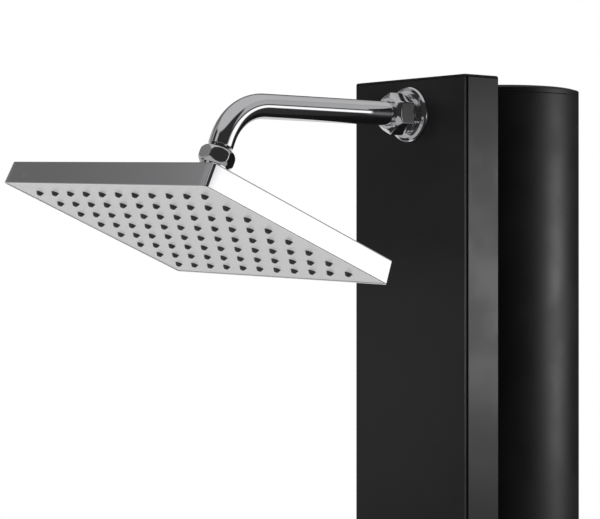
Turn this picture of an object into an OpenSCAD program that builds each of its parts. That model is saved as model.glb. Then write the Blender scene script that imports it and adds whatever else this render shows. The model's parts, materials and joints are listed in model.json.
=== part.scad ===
// Solar outdoor shower: a black water tank standing behind a slim box column,
// with a bent arm and a flat rain head. Millimetres, +Z up.
// The origin is on the ground, in the middle of the anchor holes. The user stands at -Y.

/* [Column] */
// Height of the column over the ground
column_h = 2170; // [1700:10:2300]
// Width of the front column
housing_w = 160; // [150:1:190]
// Depth of the front column, panel included
housing_d = 46; // [44:1:70]
// Wall of the column profile
housing_wall = 2.5; // [1.5:0.1:3.5]
// Thickness of the front panel
panel_t = 3; // [2:0.1:4]
// Radius of the front panel's long edges
panel_edge_r = 1.4; // [0.5:0.1:1.9]
// Shadow gap between the front panel and the profile
panel_gap = 0.7; // [0.3:0.1:1.5]
// Radius of the profile's outer corners
profile_edge_r = 1.2; // [0.5:0.1:2]
// Width of the lips that the panel hooks behind
lip_w = 8; // [6:0.5:11]
// Thickness of the panel's hooks
hook_t = 1.5; // [1:0.1:2.5]
// Thickness of the top cap
cap_t = 2.5; // [1.5:0.1:5]
// Depth of the cap's tab inside the column
cap_tab_h = 12; // [6:1:25]
// Radius of the screw channels in the profile
port_r = 4; // [3.4:0.1:4.6]

/* [Tank] */
// Outside diameter of the tank tube
tank_od = 160; // [150:1:170]
// Wall of the tank tube
tank_wall = 4; // [3:0.1:6]
// Gap between the column's back and the tank
tank_gap = 3; // [2:0.1:10]
// How far the tank stops below the column's top
tank_drop = 7.4; // [3:0.1:25]
// Height of the tank cap's visible rim
tank_cap_rim = 5.5; // [3:0.1:12]
// Rise of the tank cap's crown
tank_cap_crown = 5; // [2:0.5:7]
// Depth of the tank cap inside the tube
tank_cap_plug = 22; // [10:1:40]
// Height of the bottom plug over the base plate
plug_lift = 40; // [32:1:46]
// Thickness of the bottom plug
plug_t = 10; // [6:1:14]
// Width of the saddles between column and tank
saddle_w = 64; // [50:1:90]
// Height of the saddles
saddle_h = 40; // [25:1:60]
// Height of the lowest saddle's middle
saddle_low = 210; // [180:5:260]
// Height of the middle saddle's middle
saddle_mid = 960; // [700:10:1050]
// Height of the highest saddle's middle
saddle_high = 1640; // [1300:10:1660]

/* [Base] */
// Width of the base plate
base_w = 260; // [220:5:340]
// Depth of the base plate
base_d = 300; // [270:5:400]
// Thickness of the base plate
base_t = 10; // [6:1:16]
// Corner radius of the base plate
base_r = 14; // [5:1:20]
// Anchor hole spacing across the width
anchor_x = 216; // [190:1:216]
// Anchor hole spacing across the depth
anchor_y = 256; // [230:1:256]
// Diameter of the anchor holes
anchor_d = 12.5; // [8:0.5:16]
// Height of the shoe that the column stands on
shoe_h = 76; // [60:1:80]
// Wall of the shoe
shoe_t = 4; // [3:0.5:6]
// Height of the ring inside the tank's foot
spigot_h = 28; // [15:1:30]
// Wall of that ring
spigot_t = 4; // [3:0.5:8]

/* [Arm] */
// Height of the arm's axis below the column's top
arm_drop = 36; // [34:0.5:55]
// Outside diameter of the arm
arm_od = 24; // [20:0.5:24]
// Wall of the arm
arm_wall = 1.5; // [1:0.1:2.5]
// From the column's face to the corner of the bend
arm_reach = 222; // [180:0.5:300]
// Bend radius of the arm at its middle line
arm_bend_r = 52; // [38:0.5:55]
// From the corner of the bend to the swivel's middle
neck_len = 55.8; // [53:0.1:80]
// Radius of the round wall flange
flange_r = 27.5; // [22.5:0.5:30]
// Thickness of the round wall flange
flange_t = 4.5; // [3:0.1:8]
// Union nut across its flats
union_af = 36.5; // [36:0.1:40]
// Length of the union nut
union_l = 20.5; // [19:0.1:26]
// Radius of the threaded nipple inside the union nut
nipple_r = 15.4; // [14.5:0.1:15.6]
// Radius of the nipple's shank through the panel
shank_r = 12.8; // [12:0.1:13.2]
// Thickness of the rubber washer in the union nut
gasket_t = 2; // [1:0.1:3]
// Thickness of the arm's collar inside the union nut
collar_t = 3; // [2:0.1:4]

/* [Swivel] */
// Radius of the ball
ball_r = 10.5; // [10:0.1:10.8]
// Radius of the ball's neck
ball_neck_r = 6.8; // [5.5:0.1:7]
// Wall of the sliding ring round the ball
ring_t = 1.8; // [1.4:0.1:2]
// Nut rim over the ball's middle
nut_rim = 11; // [10.6:0.1:12]
// Outside radius of the nut's rim
nut_rim_r = 12.2; // [11.9:0.1:13]
// Largest radius of the nut
nut_r = 17.3; // [16.8:0.1:19]
// Swivel nut across its flats
nut_af = 30.4; // [30.2:0.1:33]
// Nut length below the ball's middle
nut_skirt = 9; // [8:0.1:12]
// Free space between the arm's end and the nut's rim
rim_gap = 2.2; // [2.2:0.1:4]

/* [Head] */
// Tilt of the head, square to the arm's end
head_tilt = 22; // [15:0.5:30]
// Sideways roll of the head in the swivel
head_roll = 2.1; // [-4:0.1:4]
// Width of the head
head_w = 313; // [300:1:340]
// Length of the head, from user to column
head_l = 225; // [215:1:260]
// Height of the head's edge
head_h = 22.5; // [17:0.1:26]
// How much narrower each side is at the top
head_draft = 1.2; // [0.5:0.1:4]
// Corner radius of the head
head_corner_r = 3; // [2:0.1:6]
// Wall of the head's shell
shell_t = 2; // [1.5:0.1:3]
// From the swivel's middle to the spray face
face_drop = 73.5; // [71:0.5:95]
// Thickness of the spray face
face_t = 3; // [2:0.1:4]
// How far the spray face sits inside the rim
face_recess = 0.6; // [0.2:0.1:1.5]
// Columns of nozzles
nozzle_cols = 11; // [5:1:11]
// Rows of nozzles
nozzle_rows = 8; // [4:1:8]
// Spacing of the nozzles
nozzle_pitch = 25.4; // [18:0.1:26]
// Radius of a nozzle at its root
nozzle_r = 3.6; // [2:0.1:4.2]
// How far the nozzles stand out of the rim's plane
nozzle_out = 2.6; // [1.5:0.1:5]
// Thickness of the rubber mat behind the face
mat_t = 1.6; // [1:0.1:2.5]
// Height of the hub on the head's back
hub_h = 16; // [10:0.5:18]
// Radius of the hub's foot
hub_r = 32; // [24:0.5:45]

/* [Mixer] */
// Height of the mixer over the ground
mixer_z = 1150; // [1080:10:1200]
// Radius of the mixer's wall plate
plate_r = 37; // [34:0.5:42]
// Radius of the turning dome
dome_r = 22; // [21.5:0.1:23]
// Distance of the dome's middle from the panel
dome_z = 16; // [15:0.1:18]
// Thickness of the lever's cap over the dome
lever_cap_t = 3; // [2:0.1:4]
// Length of the lever
lever_l = 74; // [50:1:110]
// Radius of the lever
lever_r = 4.6; // [3.5:0.1:6]
// Radius of the cartridge
cartridge_r = 17.5; // [17:0.1:17.6]
// Radius of the cartridge's turning core
core_r = 9; // [8.8:0.1:9.4]
// Thickness of the stem in the core
stem_t = 8; // [7:0.1:8.2]
// Radius of the stem's pin
pin_r = 1.5; // [1:0.1:1.8]

/* [Foot tap] */
// Height of the foot tap over the ground
foot_z = 340; // [300:10:420]
// Radius of the foot tap's barrel
foot_r = 11; // [10:0.1:13]
// Length of the foot tap's barrel
foot_l = 50; // [46:1:70]
// Length of its spout
foot_spout_l = 30; // [20:1:40]
// Length of its lever
foot_lever_l = 46; // [30:1:60]
// Radius of its spindle
spindle_r = 5; // [4:0.1:6]

/* [Plumbing] */
// Height of the hose inlet over the ground
inlet_z = 116; // [112:1:130]
// Thread radius of the hose inlet
inlet_r = 13.22; // [10.4:0.01:13.3]
// Length of the inlet's thread
inlet_l = 16; // [12:1:20]
// Height of the drain cock over the ground
drain_z = 84; // [78:1:100]
// Depth of the hot outlet below the column's top
hot_drop = 130; // [115:5:200]
// Distance of the side hoses from the middle
hose_x = 35; // [32:1:44]
// Radius of a hose
hose_r = 7; // [6:0.1:7.5]
// Bore radius of a hose
hose_bore = 4.5; // [3:0.1:5]
// Radius of the brass tails that the hoses join
tail_r = 8; // [7.6:0.1:8.5]
// Bore radius of the brass parts
tail_bore = 5; // [4:0.1:5.5]
// Hose nut across its flats
hose_nut_af = 23; // [21:0.5:26]
// Length of a hose nut
hose_nut_l = 18; // [12:1:24]

/* [Hidden] */
$fn = 64;

// Clearances: between pieces that touch, that slide, that turn in a bore, and that are pressed in
seat = 0.1;
slide_fit = 0.3;
running_fit = 0.05;
press_fit = 0.02;
// Overlaps that join solids, and how far a cut runs past what it cuts
weld = 0.05;
eps = 0.01;
cut = 10;
big = 4000;
// Screws, all of one size, and their lengths
screw_r = 2;
screw_head_r = 3.8;
screw_head_h = 2.6;
screw_hole_r = 2.15;
short_screw_l = 9;
cap_screw_l = 16;
flat_head_r = 3.4;
flat_head_h = 1.4;
// Column and tank
shoe_screw_in = 20;
port_sink = 0.5;
saddle_screw_x = 20;
tank_cap_wall = 4;
tank_cap_edge = 1;
tank_stub = 8;
// Brass fittings
tail_l = 32;
cross_l = 26;
elbow_l = 42;
pipe_wall = 1;
inlet_bore = 7;
inlet_flange = 4;
shoulder_t = 4;
locknut_t = 7;
locknut_af = 34;
foot_locknut_af = 26;
// Mixer
mixer_up = 48;
plate_screw_in = 7;
body_flange_t = 6;
cup_wall = 1.5;
cup_clear = 5;
cartridge_in = 20.5;
cartridge_out = 6;
cartridge_neck_t = 3;
cartridge_neck_z = 10;
dome_foot_z = 3.4;
dome_wall = 2;
dome_fit = 0.4;
stem_h = 7;
stem_in = 4.5;
stem_out = 18.7;
boss_r = 7.3;
button_r = 6.1;
button_t = 2;
lever_root = 1.2;
lever_dip = 50;
lever_hang = 80;
lever_taper_l = 14;
// Foot tap
foot_flange_r = 23;
foot_flange_t = 5;
spout_in = 14;
spout_dip = 75;
spindle_l = 25;
spindle_out = 9;
foot_knob_t = 11;
foot_bar_r = 4;
// Drain cock
drain_flange_t = 4;
drain_l = 44;
drain_stem_z = 18;
drain_key_l = 26;
drain_bore = 3.5;
// Union nut and swivel
gasket_in = 8;
ball_bore = 4.3;
ring_top = 7;
ring_bottom = 1.5;
cup_top = 4.5;
cup_bottom = 21;
rim_wall = 2.6;
hub_tube_r = 10.2;
hub_top_r = 16;
hub_tube_in = 14;
water_way_r = 6.5;
nozzle_taper = 1.4;
mat_edge = 10;
mat_corner_r = 6;

// Places worked out from the sizes above
column_d = housing_d + tank_gap + tank_od;
y_front = -column_d / 2;
y_back = y_front + housing_d;
y_tank = y_back + tank_gap + tank_od / 2;
y_profile = y_front + panel_t + panel_gap;
mid_in = (panel_t + housing_d - housing_wall) / 2;
y_mid = y_front + mid_in;
inner_x = housing_w / 2 - housing_wall;
tank_top = column_h - tank_drop;
tank_r = tank_od / 2;
tank_ir = tank_r - tank_wall;
spigot_r = tank_ir - slide_fit - 2 * seat;
arm_z = column_h - arm_drop;
hot_z = column_h - hot_drop;
bend_a = 90 - head_tilt;
bend_t = arm_bend_r * tan(bend_a / 2);
ball_y = y_front - arm_reach - neck_len * sin(head_tilt);
ball_z = arm_z - neck_len * cos(head_tilt);
arm_end = nut_rim + rim_gap;
arm_ir = arm_od / 2 - arm_wall;
port_x = inner_x - port_r + port_sink;
port_y = y_back - housing_wall - port_r + port_sink;
union_z = flange_t + shoulder_t + 2 * seat;
gasket_z = union_z + gasket_in;
collar_z = gasket_z + gasket_t + seat;
link_x = tail_l / 2;
elbow_face = tail_r + 4.1;
pipe_r = tail_r + pipe_wall;
inlet_shank_r = tail_r + 2 * pipe_wall;
inlet_nut_af = 2 * (inlet_shank_r + 2.4);
mixed_top = arm_z - elbow_l;
lever_cap_in = dome_r + dome_fit;
lever_cap_out = lever_cap_in + lever_cap_t;
swivel_seat_r = ball_r + ring_t + 2 * slide_fit;

// Colours
black = "#1c1c1e";
tank_black = "#202022";
chrome = "#c9ccd0";
brass = "#b9975b";
steel = "#9a9da1";
rubber = "#2a2a2c";
hose_grey = "#6f7377";
face_grey = "#c8c8cb";
plastic = "#e6e4dc";

// Helpers
module on_front(z, x = 0) {
  translate([x, y_front, z]) rotate([90, 0, 0]) children();
}

module at_neck() {
  translate([0, ball_y, ball_z]) rotate([-head_tilt, 0, 0]) children();
}

module at_head() {
  translate([0, ball_y, ball_z]) rotate([-head_tilt, head_roll, 0]) children();
}

module along_x() {
  rotate([0, 90, 0]) children();
}

module disc(r, z0, z1) {
  translate([0, 0, z0]) cylinder(r = r, h = z1 - z0);
}

module ring(r_out, r_in, z0, z1) {
  difference() {
    disc(r_out, z0, z1);
    disc(r_in, z0 - 1, z1 + 1);
  }
}

module hex(af, z0, z1) {
  translate([0, 0, z0]) cylinder(d = af / cos(30), h = z1 - z0, $fn = 6);
}

module round_rect(w, d, r) {
  square([w - 2 * r, d], center = true);
  square([w, d - 2 * r], center = true);
  for (sx = [-1, 1], sy = [-1, 1]) {
    translate([sx * (w / 2 - r), sy * (d / 2 - r)]) circle(r = r);
  }
}

module tapered_pad(w, l, h, r, inset) {
  hull() {
    for (sx = [-1, 1], sy = [-1, 1]) {
      translate([sx * (w / 2 - r), sy * (l / 2 - r), 0]) cylinder(r = r, h = eps, $fn = 32);
      translate([sx * (w / 2 - r - inset), sy * (l / 2 - r - inset), h - eps])
        cylinder(r = r, h = eps, $fn = 32);
    }
  }
}

module pan_screw(l) {
  disc(screw_r, -l, 0);
  disc(screw_head_r, 0, screw_head_h);
}

module flat_head(past = 0) {
  slope = (flat_head_r - screw_r) / flat_head_h;
  translate([0, 0, -flat_head_h])
    cylinder(r1 = screw_r, r2 = flat_head_r + slope * past, h = flat_head_h + past);
}

module hose(x, z0, z1) {
  translate([x, y_mid, 0]) ring(hose_r, hose_bore, z0 + seat, z1 - seat);
}

// Base
module base_plate() {
  color(black) difference() {
    union() {
      linear_extrude(base_t) round_rect(base_w, base_d, base_r);
      translate([0, y_tank, 0]) ring(spigot_r, spigot_r - spigot_t, base_t, base_t + spigot_h);
      shoe();
    }
    for (sx = [-1, 1], sy = [-1, 1]) {
      translate([sx * anchor_x / 2, sy * anchor_y / 2, -1]) cylinder(d = anchor_d, h = base_t + 2);
    }
    shoe_screw_places() disc(screw_hole_r, -short_screw_l - 1, 1);
  }
}

module shoe() {
  shoe_w = 2 * (inner_x - 2 * seat);
  shoe_y0 = y_profile + housing_wall + slide_fit + hook_t + slide_fit;
  shoe_y1 = y_back - housing_wall - 2 * port_r;
  translate([0, 0, base_t]) difference() {
    translate([-shoe_w / 2, shoe_y0, 0]) cube([shoe_w, shoe_y1 - shoe_y0, shoe_h]);
    translate([-shoe_w / 2 + shoe_t, shoe_y0 + shoe_t, -1])
      cube([shoe_w - 2 * shoe_t, shoe_y1 - shoe_y0 - 2 * shoe_t, shoe_h + 2]);
  }
}

module shoe_screw_places() {
  for (sx = [-1, 1], dz = [shoe_screw_in, shoe_h - shoe_screw_in]) {
    translate([sx * housing_w / 2, y_mid, base_t + dz]) rotate([0, sx * 90, 0]) children();
  }
}

module shoe_screws() {
  color(steel) shoe_screw_places() pan_screw(short_screw_l);
}

// Column
module profile_section() {
  difference() {
    translate([0, (y_profile + y_back) / 2]) round_rect(housing_w, y_back - y_profile, profile_edge_r);
    translate([-inner_x, y_profile + housing_wall]) square([2 * inner_x, y_back - y_profile - 2 * housing_wall]);
    translate([-inner_x + lip_w, y_profile - 1]) square([2 * (inner_x - lip_w), housing_wall + 2]);
  }
  for (sx = [-1, 1]) {
    difference() {
      translate([sx * port_x, port_y]) circle(r = port_r);
      translate([sx * port_x, port_y]) circle(r = screw_hole_r);
    }
  }
}

module column_profile() {
  color(black) difference() {
    translate([0, 0, base_t]) linear_extrude(column_h - cap_t - seat - base_t) profile_section();
    shoe_screw_places() disc(screw_hole_r, -housing_wall - 1, 1);
    saddle_screw_places() disc(screw_hole_r, -housing_wall - 1, 1);
    translate([-inner_x, y_mid, inlet_z]) along_x() disc(inlet_shank_r + slide_fit, -cut, 1);
    for (p = [[0, inlet_z], [hose_x, hot_z]]) {
      translate([p[0], y_back, p[1]]) rotate([-90, 0, 0]) disc(tail_r + slide_fit, -housing_wall - 1, cut);
    }
  }
}

module front_panel() {
  z0 = base_t + seat;
  z1 = column_h - cap_t - seat;
  hook_x = inner_x - lip_w - slide_fit;
  hook_y = panel_gap + housing_wall + slide_fit;
  color(black) difference() {
    translate([0, 0, z0]) linear_extrude(z1 - z0) {
      translate([0, y_front + panel_t / 2]) round_rect(housing_w, panel_t, panel_edge_r);
      for (sx = [0, 1]) {
        mirror([sx, 0]) {
          translate([hook_x - hook_t, y_front + panel_t - eps]) square([hook_t, hook_y + hook_t]);
          translate([hook_x - hook_t, y_front + panel_t + hook_y]) square([hook_t + lip_w / 2, hook_t]);
        }
      }
    }
    on_front(arm_z) disc(shank_r + slide_fit, -panel_t - 1, 1);
    on_front(mixer_z) disc(cartridge_r + cup_wall + slide_fit, -panel_t - 1, 1);
    on_front(mixer_z) mixer_screw_places() disc(screw_hole_r, -panel_t - 1, 1);
    on_front(foot_z) disc(pipe_r + slide_fit, -panel_t - 1, 1);
  }
}

module column_cap() {
  color(black) difference() {
    union() {
      translate([0, (y_front + y_back) / 2, column_h - cap_t])
        linear_extrude(cap_t) round_rect(housing_w, housing_d, panel_edge_r);
      translate([-inner_x / 2, y_profile + housing_wall + slide_fit, column_h - cap_t - cap_tab_h])
        cube([inner_x, 2, cap_tab_h + eps]);
    }
    for (sx = [-1, 1]) {
      translate([sx * port_x, port_y, column_h]) {
        disc(screw_hole_r, -cap_t - 1, 1);
        flat_head(1);
      }
    }
  }
}

module cap_screws() {
  color(steel) for (sx = [-1, 1]) {
    translate([sx * port_x, port_y, column_h + seat]) {
      disc(screw_r, -cap_screw_l, -flat_head_h + eps);
      flat_head();
    }
  }
}

// Tank
module tank_tube() {
  color(tank_black) difference() {
    translate([0, y_tank, 0]) ring(tank_r, tank_ir, base_t + seat, tank_top - tank_cap_rim);
    translate([0, y_tank, inlet_z]) rotate([90, 0, 0]) disc(tail_r + seat, 0, tank_r + cut);
    translate([hose_x, y_tank, hot_z]) rotate([90, 0, 0]) disc(tail_r + seat, 0, tank_r + cut);
    translate([0, y_tank, drain_z]) rotate([-90, 0, 0]) disc(tail_r + seat, 0, tank_r + cut);
  }
}

module tank_cap() {
  plug_ir = tank_ir - tank_cap_wall - seat;
  crown = [for (a = [0:10:80]) [tank_r * cos(a) - tank_cap_edge, tank_cap_rim + tank_cap_crown * sin(a)]];
  outline = concat([[0, -eps], [plug_ir, -eps], [plug_ir, -tank_cap_plug], [tank_ir - seat, -tank_cap_plug],
    [tank_ir - seat, 0], [tank_r, 0], [tank_r, tank_cap_rim - tank_cap_edge]], crown,
    [[0, tank_cap_rim + tank_cap_crown]]);
  color(tank_black) translate([0, y_tank, tank_top - tank_cap_rim]) rotate_extrude($fn = 128) polygon(outline);
}

module tank_bottom_plug() {
  color(tank_black) translate([0, y_tank, base_t + plug_lift]) disc(tank_ir - seat, 0, plug_t);
}

// Saddles that hold the tank to the column
module saddle(z) {
  depth = tank_gap + tank_r - sqrt(tank_r * tank_r - saddle_w * saddle_w / 4);
  color(rubber) difference() {
    translate([-saddle_w / 2, y_back + seat, z - saddle_h / 2]) cube([saddle_w, depth, saddle_h]);
    translate([0, y_tank, z - saddle_h]) cylinder(r = tank_r + seat, h = 2 * saddle_h, $fn = 360);
    for (sx = [-1, 1]) {
      translate([sx * saddle_screw_x, y_back, z]) rotate([-90, 0, 0]) disc(screw_hole_r, -1, saddle_w / 2);
    }
  }
}

module lower_saddle() {
  saddle(saddle_low);
}

module middle_saddle() {
  saddle(saddle_mid);
}

module upper_saddle() {
  saddle(saddle_high);
}

module saddle_screw_places() {
  for (z = [saddle_low, saddle_mid, saddle_high], sx = [-1, 1]) {
    translate([sx * saddle_screw_x, y_back - housing_wall, z]) rotate([90, 0, 0]) children();
  }
}

module saddle_screws() {
  color(steel) saddle_screw_places() pan_screw(housing_wall + tank_gap);
}

// Water inlet and the cold line
module inlet_nipple() {
  wall_x = housing_w / 2;
  color(brass) translate([0, y_mid, inlet_z]) rotate([0, -90, 0]) difference() {
    union() {
      disc(inlet_r, wall_x + shoulder_t, wall_x + shoulder_t + inlet_l);
      disc(inlet_r + inlet_flange, wall_x + seat, wall_x + shoulder_t);
      disc(inlet_shank_r, hose_x + cross_l, wall_x + 1);
    }
    disc(inlet_bore, 0, big);
  }
}

module inlet_locknut() {
  color(brass) translate([0, y_mid, inlet_z]) rotate([0, -90, 0]) difference() {
    hex(inlet_nut_af, inner_x - locknut_t, inner_x - seat);
    disc(inlet_shank_r + seat, 0, big);
  }
}

module inlet_tee() {
  color(brass) translate([-hose_x, y_mid, inlet_z]) difference() {
    union() {
      along_x() disc(tail_r, -cross_l + seat, cross_l);
      disc(tail_r, 0, tail_l);
    }
    along_x() disc(tail_bore, -tail_l, tail_l);
    disc(tail_bore, 0, tail_l + 1);
  }
}

module fill_elbow() {
  reach_in = y_tank - tank_r + tank_wall + tank_stub - y_mid;
  color(brass) translate([0, y_mid, inlet_z]) difference() {
    union() {
      along_x() disc(tail_r, -hose_x + cross_l + seat, 0);
      sphere(r = tail_r);
      rotate([-90, 0, 0]) disc(tail_r, 0, reach_in);
    }
    along_x() disc(tail_bore, -big, 0);
    sphere(r = tail_bore);
    rotate([-90, 0, 0]) disc(tail_bore, 0, big);
  }
}

module lower_cold_hose() {
  color(hose_grey) hose(-hose_x, inlet_z + tail_l, foot_z - tail_l);
}

module foot_tee() {
  color(brass) translate([-hose_x, y_mid, foot_z]) difference() {
    union() {
      disc(tail_r, -tail_l, tail_l);
      along_x() disc(tail_r, 0, hose_x - link_x - seat);
    }
    disc(tail_bore, -tail_l - 1, tail_l + 1);
    along_x() disc(tail_bore, 0, hose_x);
  }
}

module upper_cold_hose() {
  color(hose_grey) hose(-hose_x, foot_z + tail_l, mixer_z - mixer_up);
}

// Hot line, from the tank's top to the mixer
module hot_outlet() {
  reach_in = y_tank - sqrt(tank_r * tank_r - hose_x * hose_x) + tank_wall + tank_stub - y_mid;
  color(brass) translate([hose_x, y_mid, hot_z]) difference() {
    union() {
      disc(tail_r, -tail_l, 0);
      sphere(r = tail_r);
      rotate([-90, 0, 0]) disc(tail_r, 0, reach_in);
    }
    disc(tail_bore, -tail_l - 1, 0);
    sphere(r = tail_bore);
    rotate([-90, 0, 0]) disc(tail_bore, 0, big);
  }
}

module hot_hose() {
  color(hose_grey) hose(hose_x, mixer_z + mixer_up, hot_z - tail_l);
}

module mixed_hose() {
  color(hose_grey) hose(0, mixer_z + mixer_up, mixed_top);
}

module hose_nuts() {
  ends = [[-hose_x, inlet_z + tail_l], [-hose_x, foot_z - tail_l], [-hose_x, foot_z + tail_l],
    [-hose_x, mixer_z - mixer_up], [hose_x, mixer_z + mixer_up], [hose_x, hot_z - tail_l],
    [0, mixer_z + mixer_up], [0, mixed_top]];
  color(brass) for (e = ends) {
    translate([e[0], y_mid, e[1]]) difference() {
      hex(hose_nut_af, -hose_nut_l / 2, hose_nut_l / 2);
      disc(tail_r + seat, -hose_nut_l, hose_nut_l);
    }
  }
}

// Mixer
module mixer_screw_places() {
  for (sx = [-1, 1]) {
    translate([sx * (plate_r - plate_screw_in), 0, 0]) children();
  }
}

module mixer_body() {
  cup_r = cartridge_r + cup_wall;
  cup_back = -(housing_d - housing_wall - cup_clear);
  pipe_ends = [[-hose_x, 90], [hose_x, -90], [0, -90]];
  color(brass) on_front(mixer_z) difference() {
    union() {
      disc(cup_r, cup_back, 2);
      disc(plate_r - 2, -panel_t - body_flange_t, -panel_t - seat);
      translate([0, 0, -mid_in]) {
        along_x() disc(pipe_r, -hose_x, hose_x);
        for (sx = [-1, 1]) {
          translate([sx * hose_x, 0, 0]) sphere(r = pipe_r);
        }
        for (e = pipe_ends) {
          translate([e[0], 0, 0]) rotate([e[1], 0, 0]) disc(tail_r, 0, mixer_up);
        }
      }
    }
    disc(cartridge_r + seat, -cartridge_in - seat, 3);
    mixer_screw_places() disc(screw_hole_r, -panel_t - body_flange_t - 1, 0);
    translate([0, 0, -mid_in]) for (e = pipe_ends) {
      translate([e[0], 0, 0]) rotate([e[1], 0, 0]) disc(tail_bore, e[0] == 0 ? cup_r - tail_bore : 0, mixer_up + 1);
    }
  }
}

module mixer_screws() {
  color(steel) on_front(mixer_z) mixer_screw_places() pan_screw(panel_t + body_flange_t);
}

module mixer_cartridge() {
  color(plastic) on_front(mixer_z) difference() {
    union() {
      disc(cartridge_r, -cartridge_in, cartridge_out);
      disc(core_r + cartridge_neck_t, 0, cartridge_neck_z);
    }
    disc(core_r + running_fit, 0, cartridge_neck_z + 1);
  }
}

module cartridge_nut() {
  color(brass) on_front(mixer_z) difference() {
    disc(cartridge_r + 2, 2 + seat, cartridge_out + 3);
    disc(cartridge_r + seat, 1, cartridge_out + seat);
    disc(core_r + cartridge_neck_t + slide_fit, 0, cartridge_neck_z);
  }
}

module mixer_plate() {
  collar = dome_r + slide_fit + 3.5;
  color(chrome) on_front(mixer_z) difference() {
    rotate_extrude($fn = 96) polygon([[0, seat], [plate_r, seat], [plate_r, 2], [plate_r - 2, 4],
      [collar + 2, 6], [collar, 7], [collar, 9], [collar - 1, 10], [0, 10]]);
    disc(dome_r + slide_fit, 3, 11);
    disc(plate_r - 3, seat - 1, 3.2);
  }
}

module cartridge_core() {
  color(plastic) on_front(mixer_z) difference() {
    disc(core_r, seat, dome_z + 4.5);
    translate([0, 0, dome_z + stem_h / 2]) cube([stem_t + 2 * slide_fit, 2 * stem_h, 3 * stem_h], center = true);
    translate([0, 0, dome_z]) along_x() disc(pin_r + press_fit, -core_r - 1, core_r + 1);
  }
}

module stem_pin() {
  color(steel) on_front(mixer_z) translate([0, 0, dome_z]) along_x() disc(pin_r, -core_r + 1, core_r - 1);
}

module mixer_dome() {
  dome_ir = dome_r - dome_wall;
  web_z = cartridge_neck_z + dome_fit;
  color(chrome) on_front(mixer_z) difference() {
    union() {
      disc(dome_r, dome_foot_z, dome_z);
      translate([0, 0, dome_z]) sphere(r = dome_r, $fn = 96);
    }
    difference() {
      union() {
        disc(dome_ir, 0, dome_z);
        translate([0, 0, dome_z]) sphere(r = dome_ir, $fn = 96);
      }
      disc(dome_r, web_z, web_z + dome_wall);
    }
    disc(core_r + press_fit, 0, dome_z);
    disc(dome_r + 2, -dome_r, dome_foot_z);
    translate([-core_r, -core_r - 0.6, dome_z + dome_r / 3]) cube([2 * core_r, 3 * core_r + 0.6, dome_r]);
  }
}

module cartridge_stem() {
  color(steel) on_front(mixer_z) difference() {
    translate([-stem_t / 2, -stem_h / 2, dome_z - stem_in]) cube([stem_t, stem_h, stem_in + stem_out]);
    translate([0, 0, dome_z]) along_x() disc(pin_r + running_fit, -stem_t, stem_t);
    translate([0, 0, dome_z]) disc(screw_hole_r, stem_out / 2 - 1, stem_out + 1);
  }
}

module mixer_lever() {
  rim = lever_cap_in * cos(55);
  root_r = lever_r + lever_root;
  elbow = lever_cap_in + root_r + slide_fit;
  color(chrome) on_front(mixer_z) translate([0, 0, dome_z]) difference() {
    union() {
      difference() {
        sphere(r = lever_cap_out, $fn = 96);
        sphere(r = lever_cap_in, $fn = 96);
        disc(lever_cap_out + 1, -lever_cap_out - 1, rim);
      }
      disc(boss_r, stem_out - stem_in, lever_cap_in + 1);
      rotate([lever_dip, 0, 0]) disc(root_r - slide_fit, lever_cap_in + slide_fit, elbow);
      translate([0, -elbow * sin(lever_dip), elbow * cos(lever_dip)]) rotate([lever_hang, 0, 0]) {
        sphere(r = root_r);
        cylinder(r1 = root_r, r2 = lever_r, h = lever_taper_l);
        disc(lever_r, lever_taper_l, lever_l);
        translate([0, 0, lever_l]) sphere(r = lever_r);
      }
    }
    translate([0, 0, stem_out / 2 + seat])
      cube([stem_t + 2 * seat, stem_h + 2 * seat, stem_out], center = true);
    disc(screw_hole_r, 0, big);
    disc(screw_head_r + slide_fit, lever_cap_out - button_t - screw_head_h - 2 * seat, big);
    disc(button_r + seat, lever_cap_out - button_t - 2 * seat, big);
  }
}

module lever_screw() {
  seat_z = dome_z + lever_cap_out - button_t - screw_head_h - seat;
  color(steel) on_front(mixer_z) translate([0, 0, seat_z - seat / 2]) pan_screw(cap_screw_l - 4);
}

module lever_button() {
  top = dome_z + lever_cap_out - seat;
  color(hose_grey) on_front(mixer_z) disc(button_r, top - button_t, top);
}

// Foot tap
module foot_tap_flange() {
  color(chrome) on_front(foot_z) difference() {
    rotate_extrude() polygon([[0, seat], [foot_flange_r, seat], [foot_flange_r, foot_flange_t / 2],
      [foot_flange_r - 2.5, foot_flange_t], [0, foot_flange_t]]);
    disc(pipe_r + seat, -1, foot_flange_t + 1);
  }
}

module on_spout() {
  translate([0, 0, foot_l - spout_in]) rotate([spout_dip, 0, 0]) children();
}

module foot_tap_body() {
  color(chrome) on_front(foot_z) difference() {
    union() {
      disc(foot_r, foot_flange_t + seat, foot_l);
      disc(pipe_r, -mid_in, foot_flange_t + 1);
      translate([0, 0, -mid_in]) sphere(r = pipe_r);
      translate([0, 0, -mid_in]) along_x() disc(tail_r, -link_x, 0);
      on_spout() disc(tail_r, 0, foot_spout_l);
    }
    disc(spindle_r + running_fit, foot_l - spindle_l - 1, foot_l + 1);
    disc(tail_bore - 1, -mid_in, foot_l);
    translate([0, 0, -mid_in]) along_x() disc(tail_bore - 1, -link_x - 1, 0);
    on_spout() disc(tail_bore, 0, foot_spout_l + 1);
  }
}

module foot_locknut() {
  color(brass) on_front(foot_z) difference() {
    hex(foot_locknut_af, -panel_t - locknut_t, -panel_t - seat);
    disc(pipe_r + seat, -mid_in, 0);
  }
}

module foot_aerator() {
  color(hose_grey) on_front(foot_z) on_spout() difference() {
    union() {
      disc(tail_r + 0.8, foot_spout_l + seat, foot_spout_l + tail_bore);
      disc(tail_bore - seat, foot_spout_l - tail_bore, foot_spout_l + 2);
    }
    disc(tail_bore - 1.5, 0, big);
  }
}

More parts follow.
